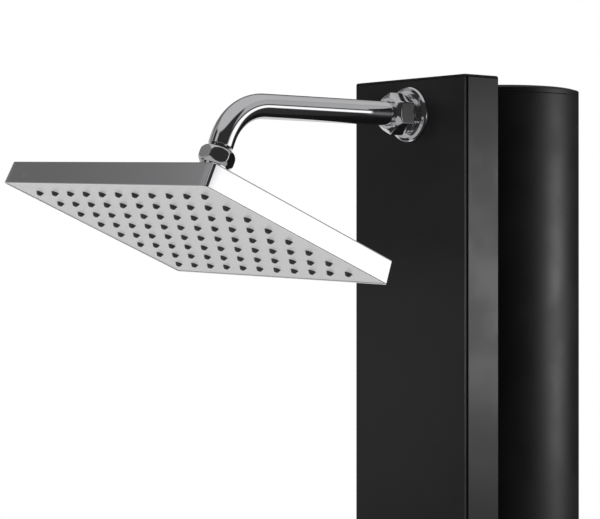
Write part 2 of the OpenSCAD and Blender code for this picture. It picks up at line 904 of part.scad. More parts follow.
module foot_spindle() {
  color(brass) on_front(foot_z) disc(spindle_r, foot_l - spindle_l, foot_l + spindle_out);
}

module foot_lever() {
  color(chrome) on_front(foot_z) difference() {
    union() {
      disc(foot_r + 2, foot_l + slide_fit, foot_l + foot_knob_t);
      disc(foot_r + 0.5, foot_l + foot_knob_t - eps, foot_l + foot_knob_t + 2);
      translate([0, 0, foot_l + foot_knob_t - foot_bar_r - 0.5]) {
        rotate([-90, 0, 0]) disc(foot_bar_r, spindle_r + 1, foot_lever_l);
        translate([0, foot_lever_l, 0]) sphere(r = foot_bar_r);
      }
    }
    disc(spindle_r + press_fit, foot_l - 1, foot_l + spindle_out + seat);
  }
}

// Drain cock at the tank's foot
module on_drain() {
  translate([0, y_tank + tank_r, drain_z]) rotate([-90, 0, 0]) children();
}

module drain_body() {
  color(brass) on_drain() difference() {
    union() {
      disc(tail_r, -tank_wall - tank_stub, 2);
      disc(tail_r + 5, 0.6, drain_flange_t);
      disc(pipe_r, drain_flange_t - eps, drain_l - 14);
      disc(tail_r - 1.5, drain_l - 14 - eps, drain_l);
      disc(tail_r - 0.5, drain_l - 3, drain_l);
    }
    disc(drain_bore, -tank_wall - tank_stub - 1, drain_l + 1);
    translate([0, 0, drain_stem_z]) rotate([90, 0, 0]) disc(spindle_r + running_fit, -6, 2 * pipe_r);
  }
}

module drain_key() {
  key = [drain_key_l, 4, 12];
  color(brass) on_drain() translate([0, 0, drain_stem_z]) rotate([90, 0, 0]) {
    disc(spindle_r, -5.5, pipe_r + 5);
    translate([-key[0] / 2, -key[1] / 2, pipe_r + 3]) cube(key);
  }
}

// Arm
module arm_flange() {
  color(chrome) on_front(arm_z) difference() {
    rotate_extrude($fn = 96) polygon([[0, seat], [flange_r, seat], [flange_r, 1.8],
      [flange_r - 0.8, 3], [flange_r - 2.4, flange_t - 0.4], [flange_r - 4, flange_t], [0, flange_t]]);
    disc(shank_r + seat, -1, flange_t + 1);
  }
}

module arm_nipple() {
  color(chrome) on_front(arm_z) difference() {
    union() {
      disc(shank_r, -mid_in + elbow_face + seat, flange_t + 1);
      disc(union_af / 2, flange_t + seat, flange_t + seat + shoulder_t);
      disc(nipple_r, flange_t + shoulder_t, gasket_z);
    }
    disc(arm_ir, -mid_in, gasket_z + 1);
  }
}

module arm_locknut() {
  color(brass) on_front(arm_z) difference() {
    hex(locknut_af, -panel_t - locknut_t, -panel_t - seat);
    disc(shank_r + seat, -mid_in, 0);
  }
}

module arm_elbow() {
  color(brass) on_front(arm_z) translate([0, 0, -mid_in]) difference() {
    union() {
      disc(shank_r, 0, elbow_face);
      sphere(r = shank_r);
      rotate([90, 0, 0]) disc(tail_r, 0, elbow_l);
    }
    disc(tail_bore, 0, elbow_face + 1);
    sphere(r = tail_bore);
    rotate([90, 0, 0]) disc(tail_bore, 0, elbow_l + 1);
  }
}

module arm_gasket() {
  color(rubber) on_front(arm_z) ring(nipple_r - 0.4, arm_ir, gasket_z + seat / 2, gasket_z + gasket_t);
}

module union_nut() {
  corner = union_af / 2 / cos(30);
  z1 = union_z + union_l;
  color(chrome) on_front(arm_z) difference() {
    intersection() {
      rotate([0, 0, 30]) hex(union_af, union_z, z1);
      rotate_extrude($fn = 96) polygon([[0, union_z], [corner - 1.6, union_z], [corner, union_z + 1.2],
        [corner, z1 - 4.5], [corner - 4.5, z1 - 1], [corner - 6, z1], [0, z1]]);
    }
    disc(nipple_r + seat, union_z - 1, collar_z + collar_t + seat);
    disc(arm_od / 2 + seat, union_z - 1, z1 + 1);
  }
}

module shower_arm() {
  color(chrome) {
    on_front(arm_z) {
      ring(nipple_r - 0.2, arm_ir, collar_z, collar_z + collar_t);
      ring(arm_od / 2, arm_ir, collar_z + collar_t, arm_reach - bend_t);
      translate([0, -arm_bend_r, arm_reach - bend_t]) rotate([90, 0, 90]) rotate_extrude(angle = bend_a)
        translate([arm_bend_r, 0]) difference() {
          circle(r = arm_od / 2);
          circle(r = arm_ir);
        }
    }
    at_neck() ring(arm_od / 2 + weld, arm_ir - weld, arm_end, neck_len - bend_t + 1);
  }
}

// Swivel: the ball is fixed in the arm's end, the ring turns round it, the nut tilts over the ring
module swivel_ball() {
  color(chrome) at_neck() difference() {
    union() {
      sphere(r = ball_r);
      disc(ball_neck_r, 0, arm_end + 1);
      disc(arm_ir - seat, arm_end, neck_len - bend_t - 1);
    }
    disc(ball_bore, -ball_r - 1, neck_len);
  }
}

module swivel_ring() {
  inner = ball_r + slide_fit;
  color(plastic) at_neck() difference() {
    sphere(r = inner + ring_t);
    sphere(r = inner);
    disc(ball_neck_r + 1, 0, 2 * inner);
    disc(2 * inner, ring_top, 2 * inner);
    disc(2 * inner, -2 * inner, -ring_bottom);
  }
}

module swivel_nut() {
  skirt_r = swivel_seat_r + 1;
  color(chrome) at_head() difference() {
    intersection() {
      hex(nut_af, -nut_skirt, nut_rim);
      rotate_extrude($fn = 96) polygon([[0, -nut_skirt], [skirt_r, -nut_skirt], [skirt_r, 2.5 - nut_skirt],
        [nut_r - 0.4, -2.5], [nut_r, 0], [nut_r, 4.5], [nut_r - 0.7, 7], [nut_r - 2.6, 9.2],
        [nut_rim_r, nut_rim - 0.2], [nut_rim_r - 0.5, nut_rim], [0, nut_rim]]);
    }
    sphere(r = swivel_seat_r, $fn = 96);
    disc(swivel_seat_r, -nut_skirt - 1, 0);
    disc(nut_rim_r - rim_wall, 0, nut_rim + 1);
  }
}

module swivel_body() {
  thread_r = swivel_seat_r - seat;
  hub_top = -face_drop + head_h + hub_h;
  color(chrome) at_head() difference() {
    union() {
      disc(thread_r, -cup_bottom, -cup_top);
      hex(2 * thread_r - 2, hub_top + seat, 1 - cup_bottom);
      disc(hub_tube_r, hub_top - hub_tube_in, hub_top + 1);
    }
    sphere(r = ball_r + slide_fit);
    disc(water_way_r, -face_drop, -ball_r + 2);
  }
}

// Head
module head_shell() {
  color(chrome) at_head() translate([0, 0, -face_drop]) difference() {
    union() {
      tapered_pad(head_w, head_l, head_h, head_corner_r, head_draft);
      translate([0, 0, head_h - eps]) cylinder(r1 = hub_r, r2 = hub_top_r, h = hub_h);
    }
    translate([0, 0, -eps])
      tapered_pad(head_w - 2 * shell_t, head_l - 2 * shell_t, head_h - shell_t, head_corner_r - 1, head_draft);
    disc(hub_tube_r + seat, 1, head_h + hub_h + 1);
  }
}

module nozzle_places() {
  for (i = [0:nozzle_cols - 1], j = [0:nozzle_rows - 1]) {
    translate([(i - (nozzle_cols - 1) / 2) * nozzle_pitch, (j - (nozzle_rows - 1) / 2) * nozzle_pitch, 0])
      children();
  }
}

module spray_face() {
  inset = 2 * (shell_t + seat + head_draft * (face_recess + face_t) / head_h);
  color(face_grey) at_head() translate([0, 0, -face_drop + face_recess]) difference() {
    linear_extrude(face_t) round_rect(head_w - inset, head_l - inset, head_corner_r - 1);
    nozzle_places() disc(nozzle_r + seat, -1, face_t + 1);
  }
}

module nozzle_mat() {
  mat_z = face_recess + face_t + seat;
  root_z = face_recess - 2 * seat;
  color(rubber) at_head() translate([0, 0, -face_drop]) {
    translate([0, 0, mat_z]) linear_extrude(mat_t)
      round_rect((nozzle_cols - 1) * nozzle_pitch + 2 * mat_edge, (nozzle_rows - 1) * nozzle_pitch + 2 * mat_edge,
        mat_corner_r);
    nozzle_places() rotate_extrude($fn = 32) polygon([[0, -nozzle_out], [nozzle_r - nozzle_taper, -nozzle_out],
      [nozzle_r, root_z], [nozzle_r, mat_z + eps], [0, mat_z + eps]]);
  }
}

base_plate();
column_profile();
front_panel();
column_cap();
cap_screws();
shoe_screws();
tank_tube();
tank_cap();
tank_bottom_plug();
lower_saddle();
middle_saddle();
upper_saddle();
saddle_screws();
inlet_nipple();
inlet_locknut();
inlet_tee();
fill_elbow();
lower_cold_hose();
foot_tee();
upper_cold_hose();
hot_outlet();
hot_hose();
mixed_hose();
hose_nuts();
mixer_body();
mixer_screws();
mixer_cartridge();
cartridge_nut();
mixer_plate();
cartridge_core();
stem_pin();
mixer_dome();
cartridge_stem();
mixer_lever();
lever_screw();
lever_button();
foot_tap_flange();
foot_tap_body();
foot_locknut();
foot_aerator();
foot_spindle();
foot_lever();
drain_body();
drain_key();
arm_flange();
arm_nipple();
arm_locknut();
arm_elbow();
arm_gasket();
union_nut();
shower_arm();
swivel_ball();
swivel_ring();
swivel_nut();
swivel_body();
head_shell();
spray_face();
nozzle_mat();
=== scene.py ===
# %% [markdown]
# # A solar outdoor shower
# The shower is a round black tank behind a slim black box column. A chromed arm comes out of the column's
# top, bends down and carries a flat rain head on a ball swivel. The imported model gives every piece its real
# size and place. This notebook gives the pieces that one sees their surfaces and finishes.

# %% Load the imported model
import json
import math

import bmesh
import bpy
import numpy as np
from mathutils import Matrix, Vector

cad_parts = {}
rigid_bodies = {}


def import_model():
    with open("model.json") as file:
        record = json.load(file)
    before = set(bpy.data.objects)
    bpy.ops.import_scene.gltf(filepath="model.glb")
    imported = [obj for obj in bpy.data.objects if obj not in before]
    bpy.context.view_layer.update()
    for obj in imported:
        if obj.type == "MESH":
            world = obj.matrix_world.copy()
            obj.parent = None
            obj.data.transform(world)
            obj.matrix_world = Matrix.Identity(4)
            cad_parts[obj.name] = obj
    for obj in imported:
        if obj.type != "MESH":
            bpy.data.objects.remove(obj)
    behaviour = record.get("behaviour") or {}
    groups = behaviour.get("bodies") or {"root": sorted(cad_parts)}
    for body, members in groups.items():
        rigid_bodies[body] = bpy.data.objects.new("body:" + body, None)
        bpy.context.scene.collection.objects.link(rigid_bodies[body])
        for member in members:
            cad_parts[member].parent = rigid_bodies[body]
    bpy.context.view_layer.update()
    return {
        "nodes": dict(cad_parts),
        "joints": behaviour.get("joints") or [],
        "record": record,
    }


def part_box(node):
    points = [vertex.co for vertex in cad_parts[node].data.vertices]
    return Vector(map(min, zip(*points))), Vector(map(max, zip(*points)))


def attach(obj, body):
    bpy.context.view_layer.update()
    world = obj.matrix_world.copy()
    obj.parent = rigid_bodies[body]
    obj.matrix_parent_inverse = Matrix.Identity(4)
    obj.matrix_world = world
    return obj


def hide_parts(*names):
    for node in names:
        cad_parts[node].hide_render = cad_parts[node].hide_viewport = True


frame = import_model()
nodes = frame["nodes"]
joints = {joint["name"]: joint for joint in frame["joints"]}
mm = 0.001

# %% [markdown]
# ## The camera
# The photograph looks at the shower's top from in front and from the user's right, a little above eye
# level. A long lens keeps the column's edges nearly upright. The camera is all but level, so it needs only
# a place, a heading and a lens.

# %% The camera
camera_place = Vector((1.6658, -1.6424, 1.9842))
camera_heading = Vector((-0.76635, 0.64242, 0.00247))
lens = bpy.data.cameras.new("camera")
lens.lens, lens.sensor_width = 136.47, 36.0
lens.clip_start, lens.clip_end = 0.05, 60.0
camera = bpy.data.objects.new("camera", lens)
bpy.context.scene.collection.objects.link(camera)
camera.location = camera_place
camera.rotation_euler = camera_heading.to_track_quat("-Z", "Y").to_euler()
bpy.context.scene.camera = camera
print("camera at", tuple(camera_place), "lens", lens.lens, "mm")

# %% [markdown]
# ## Places on the shower
# Four places carry everything: the column's face, the arm's axis, the ball in the swivel and the head. They
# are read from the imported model. Each is a 4 x 4 matrix, so a shape can be worked out round its own axis
# first and put in place with one product of arrays.

# %% Places
face_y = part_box("front_panel")[0].y
arm_z = sum(corner.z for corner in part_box("arm_flange")) / 2
mixer_z = sum(corner.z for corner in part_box("mixer_plate")) / 2
foot_z = sum(corner.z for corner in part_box("foot_tap_flange")) / 2
ball = Vector(joints["head_spin"]["pos_m"])
neck_axis = Vector(joints["head_spin"]["axis"])
head_axis_x = Vector(joints["head_tilt"]["axis"])
head_tilt = math.atan2(neck_axis.y, neck_axis.z)
head_roll = math.atan2(-head_axis_x.z, head_axis_x.x)


def on_front(z):
    """Local z points out of the column's face towards the user, and local y points up."""
    return Matrix.Translation((0, face_y, z)) @ Matrix.Rotation(math.radians(90), 4, "X")


at_head = Matrix.Translation(ball) @ Matrix.Rotation(head_roll, 4, "Y") @ Matrix.Rotation(-head_tilt, 4, "X")
print("head tilted", round(math.degrees(head_tilt), 2), "and rolled", round(math.degrees(head_roll), 2),
      "degrees")

# %% [markdown]
# ## How the surfaces are made
# Nearly every piece here was turned, drawn or pressed, so its surface is a grid: rows along one parameter
# and columns along another. numpy works out all the points at once, and one function joins neighbours into
# faces. Corners get true roundings, because a chromed edge is seen only by the light that its rounding
# catches.

# %% A grid of points becomes a piece
def moved(points, matrix):
    """Every point p becomes R p + t, with the 4 x 4 matrix made of R and t."""
    turn = np.array(matrix)
    return points @ turn[:3, :3].T + turn[:3, 3]


def piece(name, grids, place=None, close_rows=False, close_ends=True):
    """Joins each grid of shape (rows, columns, 3) into quads. Columns always close into a ring, rows only if
    asked. Points that fall together, as at a pole, are merged, and the faces of a closed shape are turned
    outwards."""
    points, quads, first = [], [], 0
    for grid in grids:
        rows, columns = grid.shape[:2]
        row = np.arange(rows if close_rows else rows - 1)[:, None]
        column = np.arange(columns)[None, :]
        next_row, next_column = (row + 1) % rows, (column + 1) % columns
        corners = [row * columns + column, row * columns + next_column,
                   next_row * columns + next_column, next_row * columns + column]
        quads.append(first + np.stack(corners, -1).reshape(-1, 4))
        points.append(grid.reshape(-1, 3))
        first += rows * columns
    points = np.concatenate(points)
    if place is not None:
        points = moved(points, place)
    mesh = bpy.data.meshes.new(name)
    mesh.from_pydata(points, [], np.concatenate(quads))
    mesh.polygons.foreach_set("use_smooth", np.full(len(mesh.polygons), True))
    tidy(mesh, close_ends)
    made = bpy.data.objects.new(name, mesh)
    bpy.context.scene.collection.objects.link(made)
    return made


def tidy(mesh, close_ends, reach=2e-6):
    """Merges points that lie together, closes open ends with flat faces if asked, and turns the faces
    outwards."""
    work = bmesh.new()
    work.from_mesh(mesh)
    bmesh.ops.remove_doubles(work, verts=work.verts, dist=reach)
    bmesh.ops.dissolve_degenerate(work, dist=reach, edges=work.edges)
    if close_ends:
        ends = bmesh.ops.holes_fill(work, edges=[edge for edge in work.edges if edge.is_boundary])
        for face in ends["faces"]:
            face.smooth = False
    bmesh.ops.recalc_face_normals(work, faces=work.faces)
    work.to_mesh(mesh)
    work.free()


# %% Outlines with true roundings
def rounded(corners, radii, closed=False, steps=6, hold=0.25 * mm):
    """The outline through the corners, each swapped for an arc that touches both sides.
    With half the angle between the sides, the arc starts radius / tan(half) from the corner. A point 'hold'
    away on each side keeps smooth shading flat on the long sides."""
    p = np.asarray(corners, float)
    radii = np.broadcast_to(radii, len(p))
    out = []
    for i, radius in enumerate(radii):
        if radius == 0 or (not closed and i in (0, len(p) - 1)):
            out.append(p[i:i + 1])
            continue
        before, after = p[i - 1] - p[i], p[(i + 1) % len(p)] - p[i]
        before, after = before / np.linalg.norm(before), after / np.linalg.norm(after)
        half = 0.5 * math.acos(np.clip(before @ after, -1, 1))
        middle = p[i] + (before + after) / np.linalg.norm(before + after) * radius / math.sin(half)
        start, end = p[i] + before * radius / math.tan(half), p[i] + after * radius / math.tan(half)
        sweep, t = math.pi - 2 * half, np.linspace(0, 1, steps + 1)[:, None]
        bend = np.sin((1 - t) * sweep) * (start - middle) + np.sin(t * sweep) * (end - middle)
        out += [start + before * hold, middle + bend / math.sin(sweep), end + after * hold]
    return np.vstack([np.atleast_2d(part) for part in out])


def turned(profile, sides=128):
    """A profile of (radius, height) carried round the axis: x = r cos(a), y = r sin(a), z = height."""
    angle = np.linspace(0, 2 * math.pi, sides, endpoint=False)
    radius, height = np.asarray(profile).T[:, :, None]
    return np.stack([radius * np.cos(angle), radius * np.sin(angle), height + 0 * angle], -1)


def divided(points, step):
    """The same path with no side longer than step: point = start + t (end - start). Every given point is
    kept."""
    p = np.asarray(points, float)
    parts = np.maximum(1, np.ceil(np.linalg.norm(np.diff(p, axis=0), axis=1) / step).astype(int))
    side = np.repeat(np.arange(len(parts)), parts)
    t = (np.arange(len(side)) - np.repeat(np.cumsum(parts) - parts, parts)) / parts[side]
    return np.vstack([p[side] + t[:, None] * (p[side + 1] - p[side]), p[-1:]])


def hexagonal(profile, flats, per_flat=32, soft=0.5 * mm):
    """A profile of (radius, height) turned, then cut to a hexagon. At the angle u from the middle of the
    nearest flat, that flat lies flats / 2 / cos(u) from the axis. The radius is the smaller of the two,
    softly joined."""
    u = np.tile(math.radians(30) * np.sin(np.linspace(-1, 1, per_flat, endpoint=False) * math.pi / 2), 6)
    angle = u + np.repeat(np.radians(np.arange(30, 360, 60)), per_flat)
    radius, height = np.asarray(profile).T[:, :, None]
    flat = flats / 2 / np.cos(u)
    share = np.clip(0.5 + 0.5 * (flat - radius) / soft, 0, 1)
    r = flat * (1 - share) + radius * share - soft * share * (1 - share)
    return np.stack([r * np.cos(angle), r * np.sin(angle), height + 0 * angle], -1)


def rectangle(half, corner, sides=(36, 26), steps=8):
    """Rows of points round rectangles with rounded corners. Each row has its own half sizes and corner
    radius: point = middle of the corner + radius (cos a, sin a), and the sides join one corner's end to the
    next's start."""
    half, corner = np.atleast_2d(half).astype(float), np.reshape(corner, (-1, 1)).astype(float)
    signs = np.array([(1, 1), (-1, 1), (-1, -1), (1, -1)])
    turn = (np.arange(4)[:, None] + np.linspace(0, 1, steps + 1)) * math.pi / 2
    circle = np.stack([np.cos(turn), np.sin(turn)], -1)
    arcs = [(half - corner)[:, None] * signs[q] + corner[:, None] * circle[q] for q in range(4)]
    out = []
    for q in range(4):
        t = np.linspace(0, 1, sides[q % 2] + 1)[1:-1, None]
        out += [arcs[q], arcs[q][:, -1:] * (1 - t) + arcs[(q + 1) % 4][:, :1] * t]
    return np.concatenate(out, 1)


def upright(rows, height):
    """Rows of flat points get their heights."""
    return np.concatenate([rows, np.broadcast_to(np.reshape(height, (-1, 1, 1)), rows.shape[:2] + (1,))], -1)


def plate(middle, half, corner, profile, **counts):
    """A closed plate with rounded corners. The profile's (inset, height) rows run from the bottom round the
    edge to the top, and each end is drawn together in the middle."""
    inset, height = np.asarray(profile).T
    rows = rectangle(np.asarray(half) - inset[:, None], np.maximum(corner - inset, 0.05 * mm), **counts)
    rows = np.concatenate([rows[:1] * 0, rows, rows[-1:] * 0])
    return upright(rows, np.r_[height[0], height, height[-1]]) + np.array([middle[0], middle[1], 0])


def drawn(outline, z0, z1, hold=0.4 * mm):
    """An outline drawn straight up from z0 to z1. Its ends are closed afterwards."""
    height = np.array([z0, z0 + hold, z1 - hold, z1])
    return upright(np.broadcast_to(np.asarray(outline)[None], (4,) + np.shape(outline)), height)


print("helpers ready")

# %% [markdown]
# ## The column
# The column is a drawn aluminium profile with an open front. A flat front panel hooks behind its two lips,
# and a narrow shadow gap shows between them. The long edges are rounded by little more than a millimetre,
# which is what draws the light lines down the real column's corner. A section is worked out once and drawn
# straight up.

# %% The column's profile, front panel and cap
lo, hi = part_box("column_profile")
front_y, back_y = lo.y, hi.y
half_w, wall, lip, seam = hi.x, 2.5 * mm, 8 * mm, 0.7 * mm
inner_x = half_w - wall
section = [(inner_x - lip, front_y), (half_w, front_y), (half_w, back_y), (-half_w, back_y),
           (-half_w, front_y), (lip - inner_x, front_y), (lip - inner_x, front_y + wall),
           (-inner_x, front_y + wall), (-inner_x, back_y - wall), (inner_x, back_y - wall), (inner_x, front_y + wall),
           (inner_x - lip, front_y + wall)]
outside = np.array([0, 1, 1, 1, 1, 0, 0, 0, 0, 0, 0, 0]) > 0
column_profile = piece("column_profile_drawn", [
    drawn(rounded(section, np.where(outside, 1.2 * mm, 0.3 * mm), closed=True), lo.z, hi.z)])

panel_lo, panel_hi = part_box("front_panel")
panel_back, hook_in, hook_t = front_y - seam, inner_x - lip - 0.3 * mm, 1.5 * mm
hook_back, hook_end = panel_hi.y - hook_t, hook_in + lip / 2
right = [(half_w, face_y), (half_w, panel_back), (hook_in, panel_back), (hook_in, hook_back),
         (hook_end, hook_back), (hook_end, panel_hi.y), (hook_in - hook_t, panel_hi.y),
         (hook_in - hook_t, panel_back)]
section = right + [(-x, y) for x, y in right[::-1]]
edge_r = np.full(len(section), 0.3 * mm)
edge_r[[0, 1, -2, -1]] = 1.4 * mm
front_panel = piece("front_panel_drawn", [
    drawn(rounded(section, edge_r, closed=True), panel_lo.z, panel_hi.z)])

cap_lo, cap_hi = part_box("column_cap")
cap_bottom = cap_hi.z - 2.5 * mm
cap_edge = rounded([(4 * mm, cap_bottom), (0, cap_bottom), (0, cap_hi.z), (4 * mm, cap_hi.z)],
                   [0, 0.2 * mm, 2.2 * mm, 0])
tab_edge = [(0, cap_lo.z), (0, cap_bottom)]
column_cap = piece("column_cap_pressed", [
    plate((0, (cap_lo.y + cap_hi.y) / 2), (half_w, (cap_hi.y - cap_lo.y) / 2), 1.4 * mm, cap_edge),
    plate((0, front_y + wall + 1.3 * mm), (inner_x / 2, 1 * mm), 0.2 * mm, tab_edge)])
print("column from", round(lo.z, 4), "to", round(cap_hi.z, 4), "with", len(section),
      "corners in the panel's section")

# %% [markdown]
# ## The tank
# The tank is a plain round tube, closed on top by a moulded cap. The cap has a low crown and a rim as wide
# as the tube, and both are turned shapes: a profile carried round one axis.

# %% The tank tube and its cap
lo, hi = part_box("tank_tube")
tank_r, tank_wall = (hi.x - lo.x) / 2, 4 * mm
at_tank = Matrix.Translation((0, (lo.y + hi.y) / 2, 0))
tube_edge = rounded([(tank_r - tank_wall, lo.z), (tank_r, lo.z), (tank_r, hi.z), (tank_r - tank_wall, hi.z)],
                    0.6 * mm, closed=True)
tank_tube = piece("tank_tube_drawn", [turned(tube_edge, 256)], at_tank, close_rows=True)

cap_rim, cap_crown, plug_r = 5.5 * mm, 5 * mm, tank_r - tank_wall - 0.1 * mm
rim_top, plug_end = hi.z + cap_rim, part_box("tank_cap")[0].z
rim_edge = rounded([(plug_r, hi.z), (tank_r, hi.z), (tank_r, rim_top), (tank_r - 3 * mm, rim_top)],
                   [0, 0.6 * mm, 1.1 * mm, 0])[:-1]
rise = np.linspace(0, math.pi / 2, 33)
crown = np.stack([(tank_r - 3 * mm) * np.cos(rise), rim_top + cap_crown * np.sin(rise)], -1)
crown[-1, 0] = 0
plug = [(0, hi.z), (plug_r - tank_wall, hi.z), (plug_r - tank_wall, plug_end), (plug_r, plug_end)]
tank_cap = piece("tank_cap_moulded", [turned(np.vstack([plug, rim_edge, crown]), 256)], at_tank)

# %% [markdown]
# ## The arm
# The arm is one chromed tube with a single bend. A union nut clamps its collar to a nipple, and a round
# flange covers the hole in the panel. The tube is a circle carried along its middle line. A hexagonal nut
# is turned from a bar, so it is the smaller of two shapes: a chamfered round one and the six flats.

# %% Flange, nipple and union nut
at_arm = on_front(arm_z)
lo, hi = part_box("arm_flange")
flange_r, shank_r = (hi.x - lo.x) / 2, 12.9 * mm
flange = rounded([(shank_r, 0.1 * mm), (flange_r, 0.1 * mm), (flange_r, 1.9 * mm),
                  (flange_r - 1.2 * mm, 3.4 * mm), (flange_r - 4 * mm, 4.5 * mm), (shank_r, 4.5 * mm)],
                 np.array([0.2, 0.3, 0.8, 1.2, 0.8, 0.2]) * mm, closed=True)
arm_flange = piece("arm_flange_turned", [turned(flange, 160)], at_arm, close_rows=True)

tube_r, tube_wall = 12 * mm, 1.5 * mm
bore_r = tube_r - tube_wall
nipple_back = face_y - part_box("arm_nipple")[1].y
shoulder = np.array([(bore_r, nipple_back), (12.8 * mm, nipple_back), (12.8 * mm, 4.6 * mm),
                     (18.25 * mm, 4.6 * mm), (18.25 * mm, 8.6 * mm), (15.4 * mm, 8.6 * mm),
                     (15.4 * mm, 16.7 * mm), (bore_r, 16.7 * mm)])
arm_nipple = piece("arm_nipple_turned", [turned(rounded(shoulder, 0.4 * mm, closed=True), 128)], at_arm,
                   close_rows=True)

nut_flats = 36.5 * mm
corner = nut_flats / 2 / math.cos(math.radians(30))
nut_back, nut_front, nut_hole = 8.7 * mm, 29.2 * mm, tube_r + 0.1 * mm
nut = rounded([(15.5 * mm, nut_back), (corner - 1.6 * mm, nut_back), (corner, nut_back + 1.2 * mm),
               (corner, nut_front - 4.5 * mm), (corner - 4.5 * mm, nut_front - 1 * mm),
               (corner - 6 * mm, nut_front), (nut_hole, nut_front), (nut_hole, nut_front - 9 * mm),
               (15.5 * mm, nut_front - 9 * mm)],
              np.array([0.3, 0.4, 0.5, 1.2, 0.6, 0.5, 0.3, 0.3, 0.3]) * mm, closed=True)
sixth = Matrix.Rotation(math.radians(30), 4, "Z")
nut = divided(np.vstack([nut, nut[:1]]), 0.7 * mm)[:-1]
union_nut = piece("union_nut_turned", [hexagonal(nut, nut_flats)], at_arm @ sixth, close_rows=True)
print("union nut", round(nut_flats * 1e3, 1), "mm across its flats,", len(union_nut.data.polygons), "faces")

# %% The bent tube
bend_r, bend_angle = 52 * mm, math.radians(90) - head_tilt
down = arm_z - ball.z
reach = (face_y - ball.y) - down * math.tan(head_tilt)
neck = down / math.cos(head_tilt)
bend_start = reach - bend_r * math.tan(bend_angle / 2)
bend_length = bend_r * bend_angle
arm_end = bend_start + bend_length + neck - bend_r * math.tan(bend_angle / 2) - 13.2 * mm


def bent(profile, bend_start, bend_r, bend_angle, sides=128):
    """A profile of (radius, distance along the middle line) carried along a bent rod. The line runs straight
    out, then round the bend by the angle distance / bend radius, then straight again. Local z is out, local y
    is up."""
    radius, s = np.asarray(profile).T[:, :, None]
    angle = np.linspace(0, 2 * math.pi, sides, endpoint=False)
    turn = np.clip((s - bend_start) / bend_r, 0, bend_angle)
    before, after = np.minimum(s, bend_start), np.maximum(s - bend_start - bend_r * bend_angle, 0)
    y = -bend_r * (1 - np.cos(turn)) - after * np.sin(turn)
    z = before + bend_r * np.sin(turn) + after * np.cos(turn)
    out = radius * np.sin(angle)
    return np.stack([radius * np.cos(angle) + 0 * s, y + out * np.cos(turn), z + out * np.sin(turn)], -1)


collar = 18.8 * mm
tube = rounded([(bore_r, collar), (15.2 * mm, collar), (15.2 * mm, collar + 3 * mm),
                (tube_r, collar + 3 * mm), (tube_r, arm_end), (bore_r, arm_end)],
               np.array([0.2, 0.3, 0.3, 0.3, 0.5, 0.3]) * mm, closed=True)
shower_arm = piece("shower_arm_bent", [
    bent(divided(np.vstack([tube, tube[:1]]), 1.5 * mm)[:-1], bend_start, bend_r, bend_angle)],
    at_arm, close_rows=True)
print("arm reaches", round(reach * 1e3, 1), "mm, neck", round(neck * 1e3, 1), "mm,",
      len(shower_arm.data.polygons), "faces")

# %% [markdown]
# ## Swivel and head
# The nut of the ball swivel is a hexagon turned to a dome. Under it the head is a flat box, pressed from
# one sheet: its sides lean in a little, its edges are rounded, and a low cone in the middle carries the
# swivel. The box is made of rings that run round it at different heights. The rings change from a rectangle
# to a circle on the flat top.

# %% The swivel nut
seat_r = 12.9 * mm
turn = np.linspace(math.acos(9.6 / 12.9), 0, 12)[:, None]
seat = seat_r * np.hstack([np.cos(turn), np.sin(turn)])
dome = rounded(np.array([(12.9, -9), (13.9, -9), (13.9, -6.5), (16.9, -2.5), (17.3, 0), (17.3, 4.5),
                         (16.6, 7), (14.7, 9.2), (12.2, 10.8), (11.7, 11), (9.6, 11), (9.6, 8.7)]) * mm,
               np.array([0, 0.3, 0.8, 1.5, 2, 3, 2, 1.5, 0.3, 0.3, 0.3, 0]) * mm)
swivel_nut = piece("swivel_nut_turned", [
    hexagonal(divided(np.vstack([dome, seat, dome[:1]]), 0.5 * mm)[:-1], 30.4 * mm, soft=0.4 * mm)],
    at_head, close_rows=True)
print("swivel nut with", len(swivel_nut.data.polygons), "faces")

# %% The head's shell
face_z = -73.5 * mm
head_half, head_h, draft, shell_t = np.array([156.5, 112.5]) * mm, 22.5 * mm, 1.2 * mm, 2 * mm
lean = draft / head_h
top_r, rim_bend = 1.3 * mm, 0.55 * mm
outer = rounded([(0.9 * mm, 0), (0, 0), (draft, head_h), (draft + 4 * mm, head_h)],
                [0, rim_bend, top_r, 0], steps=8)
inside = rounded([(shell_t + draft + 4 * mm, head_h - shell_t), (shell_t + draft, head_h - shell_t),
                  (shell_t, 0), (shell_t - 0.5 * mm, 0)], [0, 0.5 * mm, 0.25 * mm, 0])


def pad_rows(profile, corner_r):
    """Rows of (inset, height) round the head: the corner's radius shrinks only where the edge is rounded
    over."""
    inset, height = np.asarray(profile).T
    inward = np.maximum(inset - lean * height, 0)
    rows = rectangle(head_half - inset[:, None], np.maximum(corner_r - inward, 0.4 * mm), steps=10)
    return upright(rows, height)


def hub_rows(profile, like):
    """Rows of (radius, height) round the hub: each point lies in the direction of the point of 'like' above
    it."""
    radius, height = np.asarray(profile).T[:, :, None]
    angle = np.arctan2(like[:, 1], like[:, 0])
    return np.stack([radius * np.cos(angle), radius * np.sin(angle), height + 0 * angle], -1)


skin, hollow = pad_rows(outer, 3 * mm), pad_rows(inside, 3 * mm)
hub_top = head_h + 16 * mm
cone = rounded([(44 * mm, head_h), (32 * mm, head_h), (16 * mm, hub_top), (10.3 * mm, hub_top),
                (10.3 * mm, head_h - shell_t), (20 * mm, head_h - shell_t)],
               np.array([0, 4, 0.8, 0.3, 0.3, 0]) * mm, steps=10)
rings = np.concatenate([skin, hub_rows(cone, skin[-1]), hollow])
head_shell = piece("head_shell_pressed", [rings + np.array([0, 0, face_z])], at_head, close_rows=True)
print("head", np.round(2e3 * head_half, 1), "mm,", len(head_shell.data.polygons), "faces")

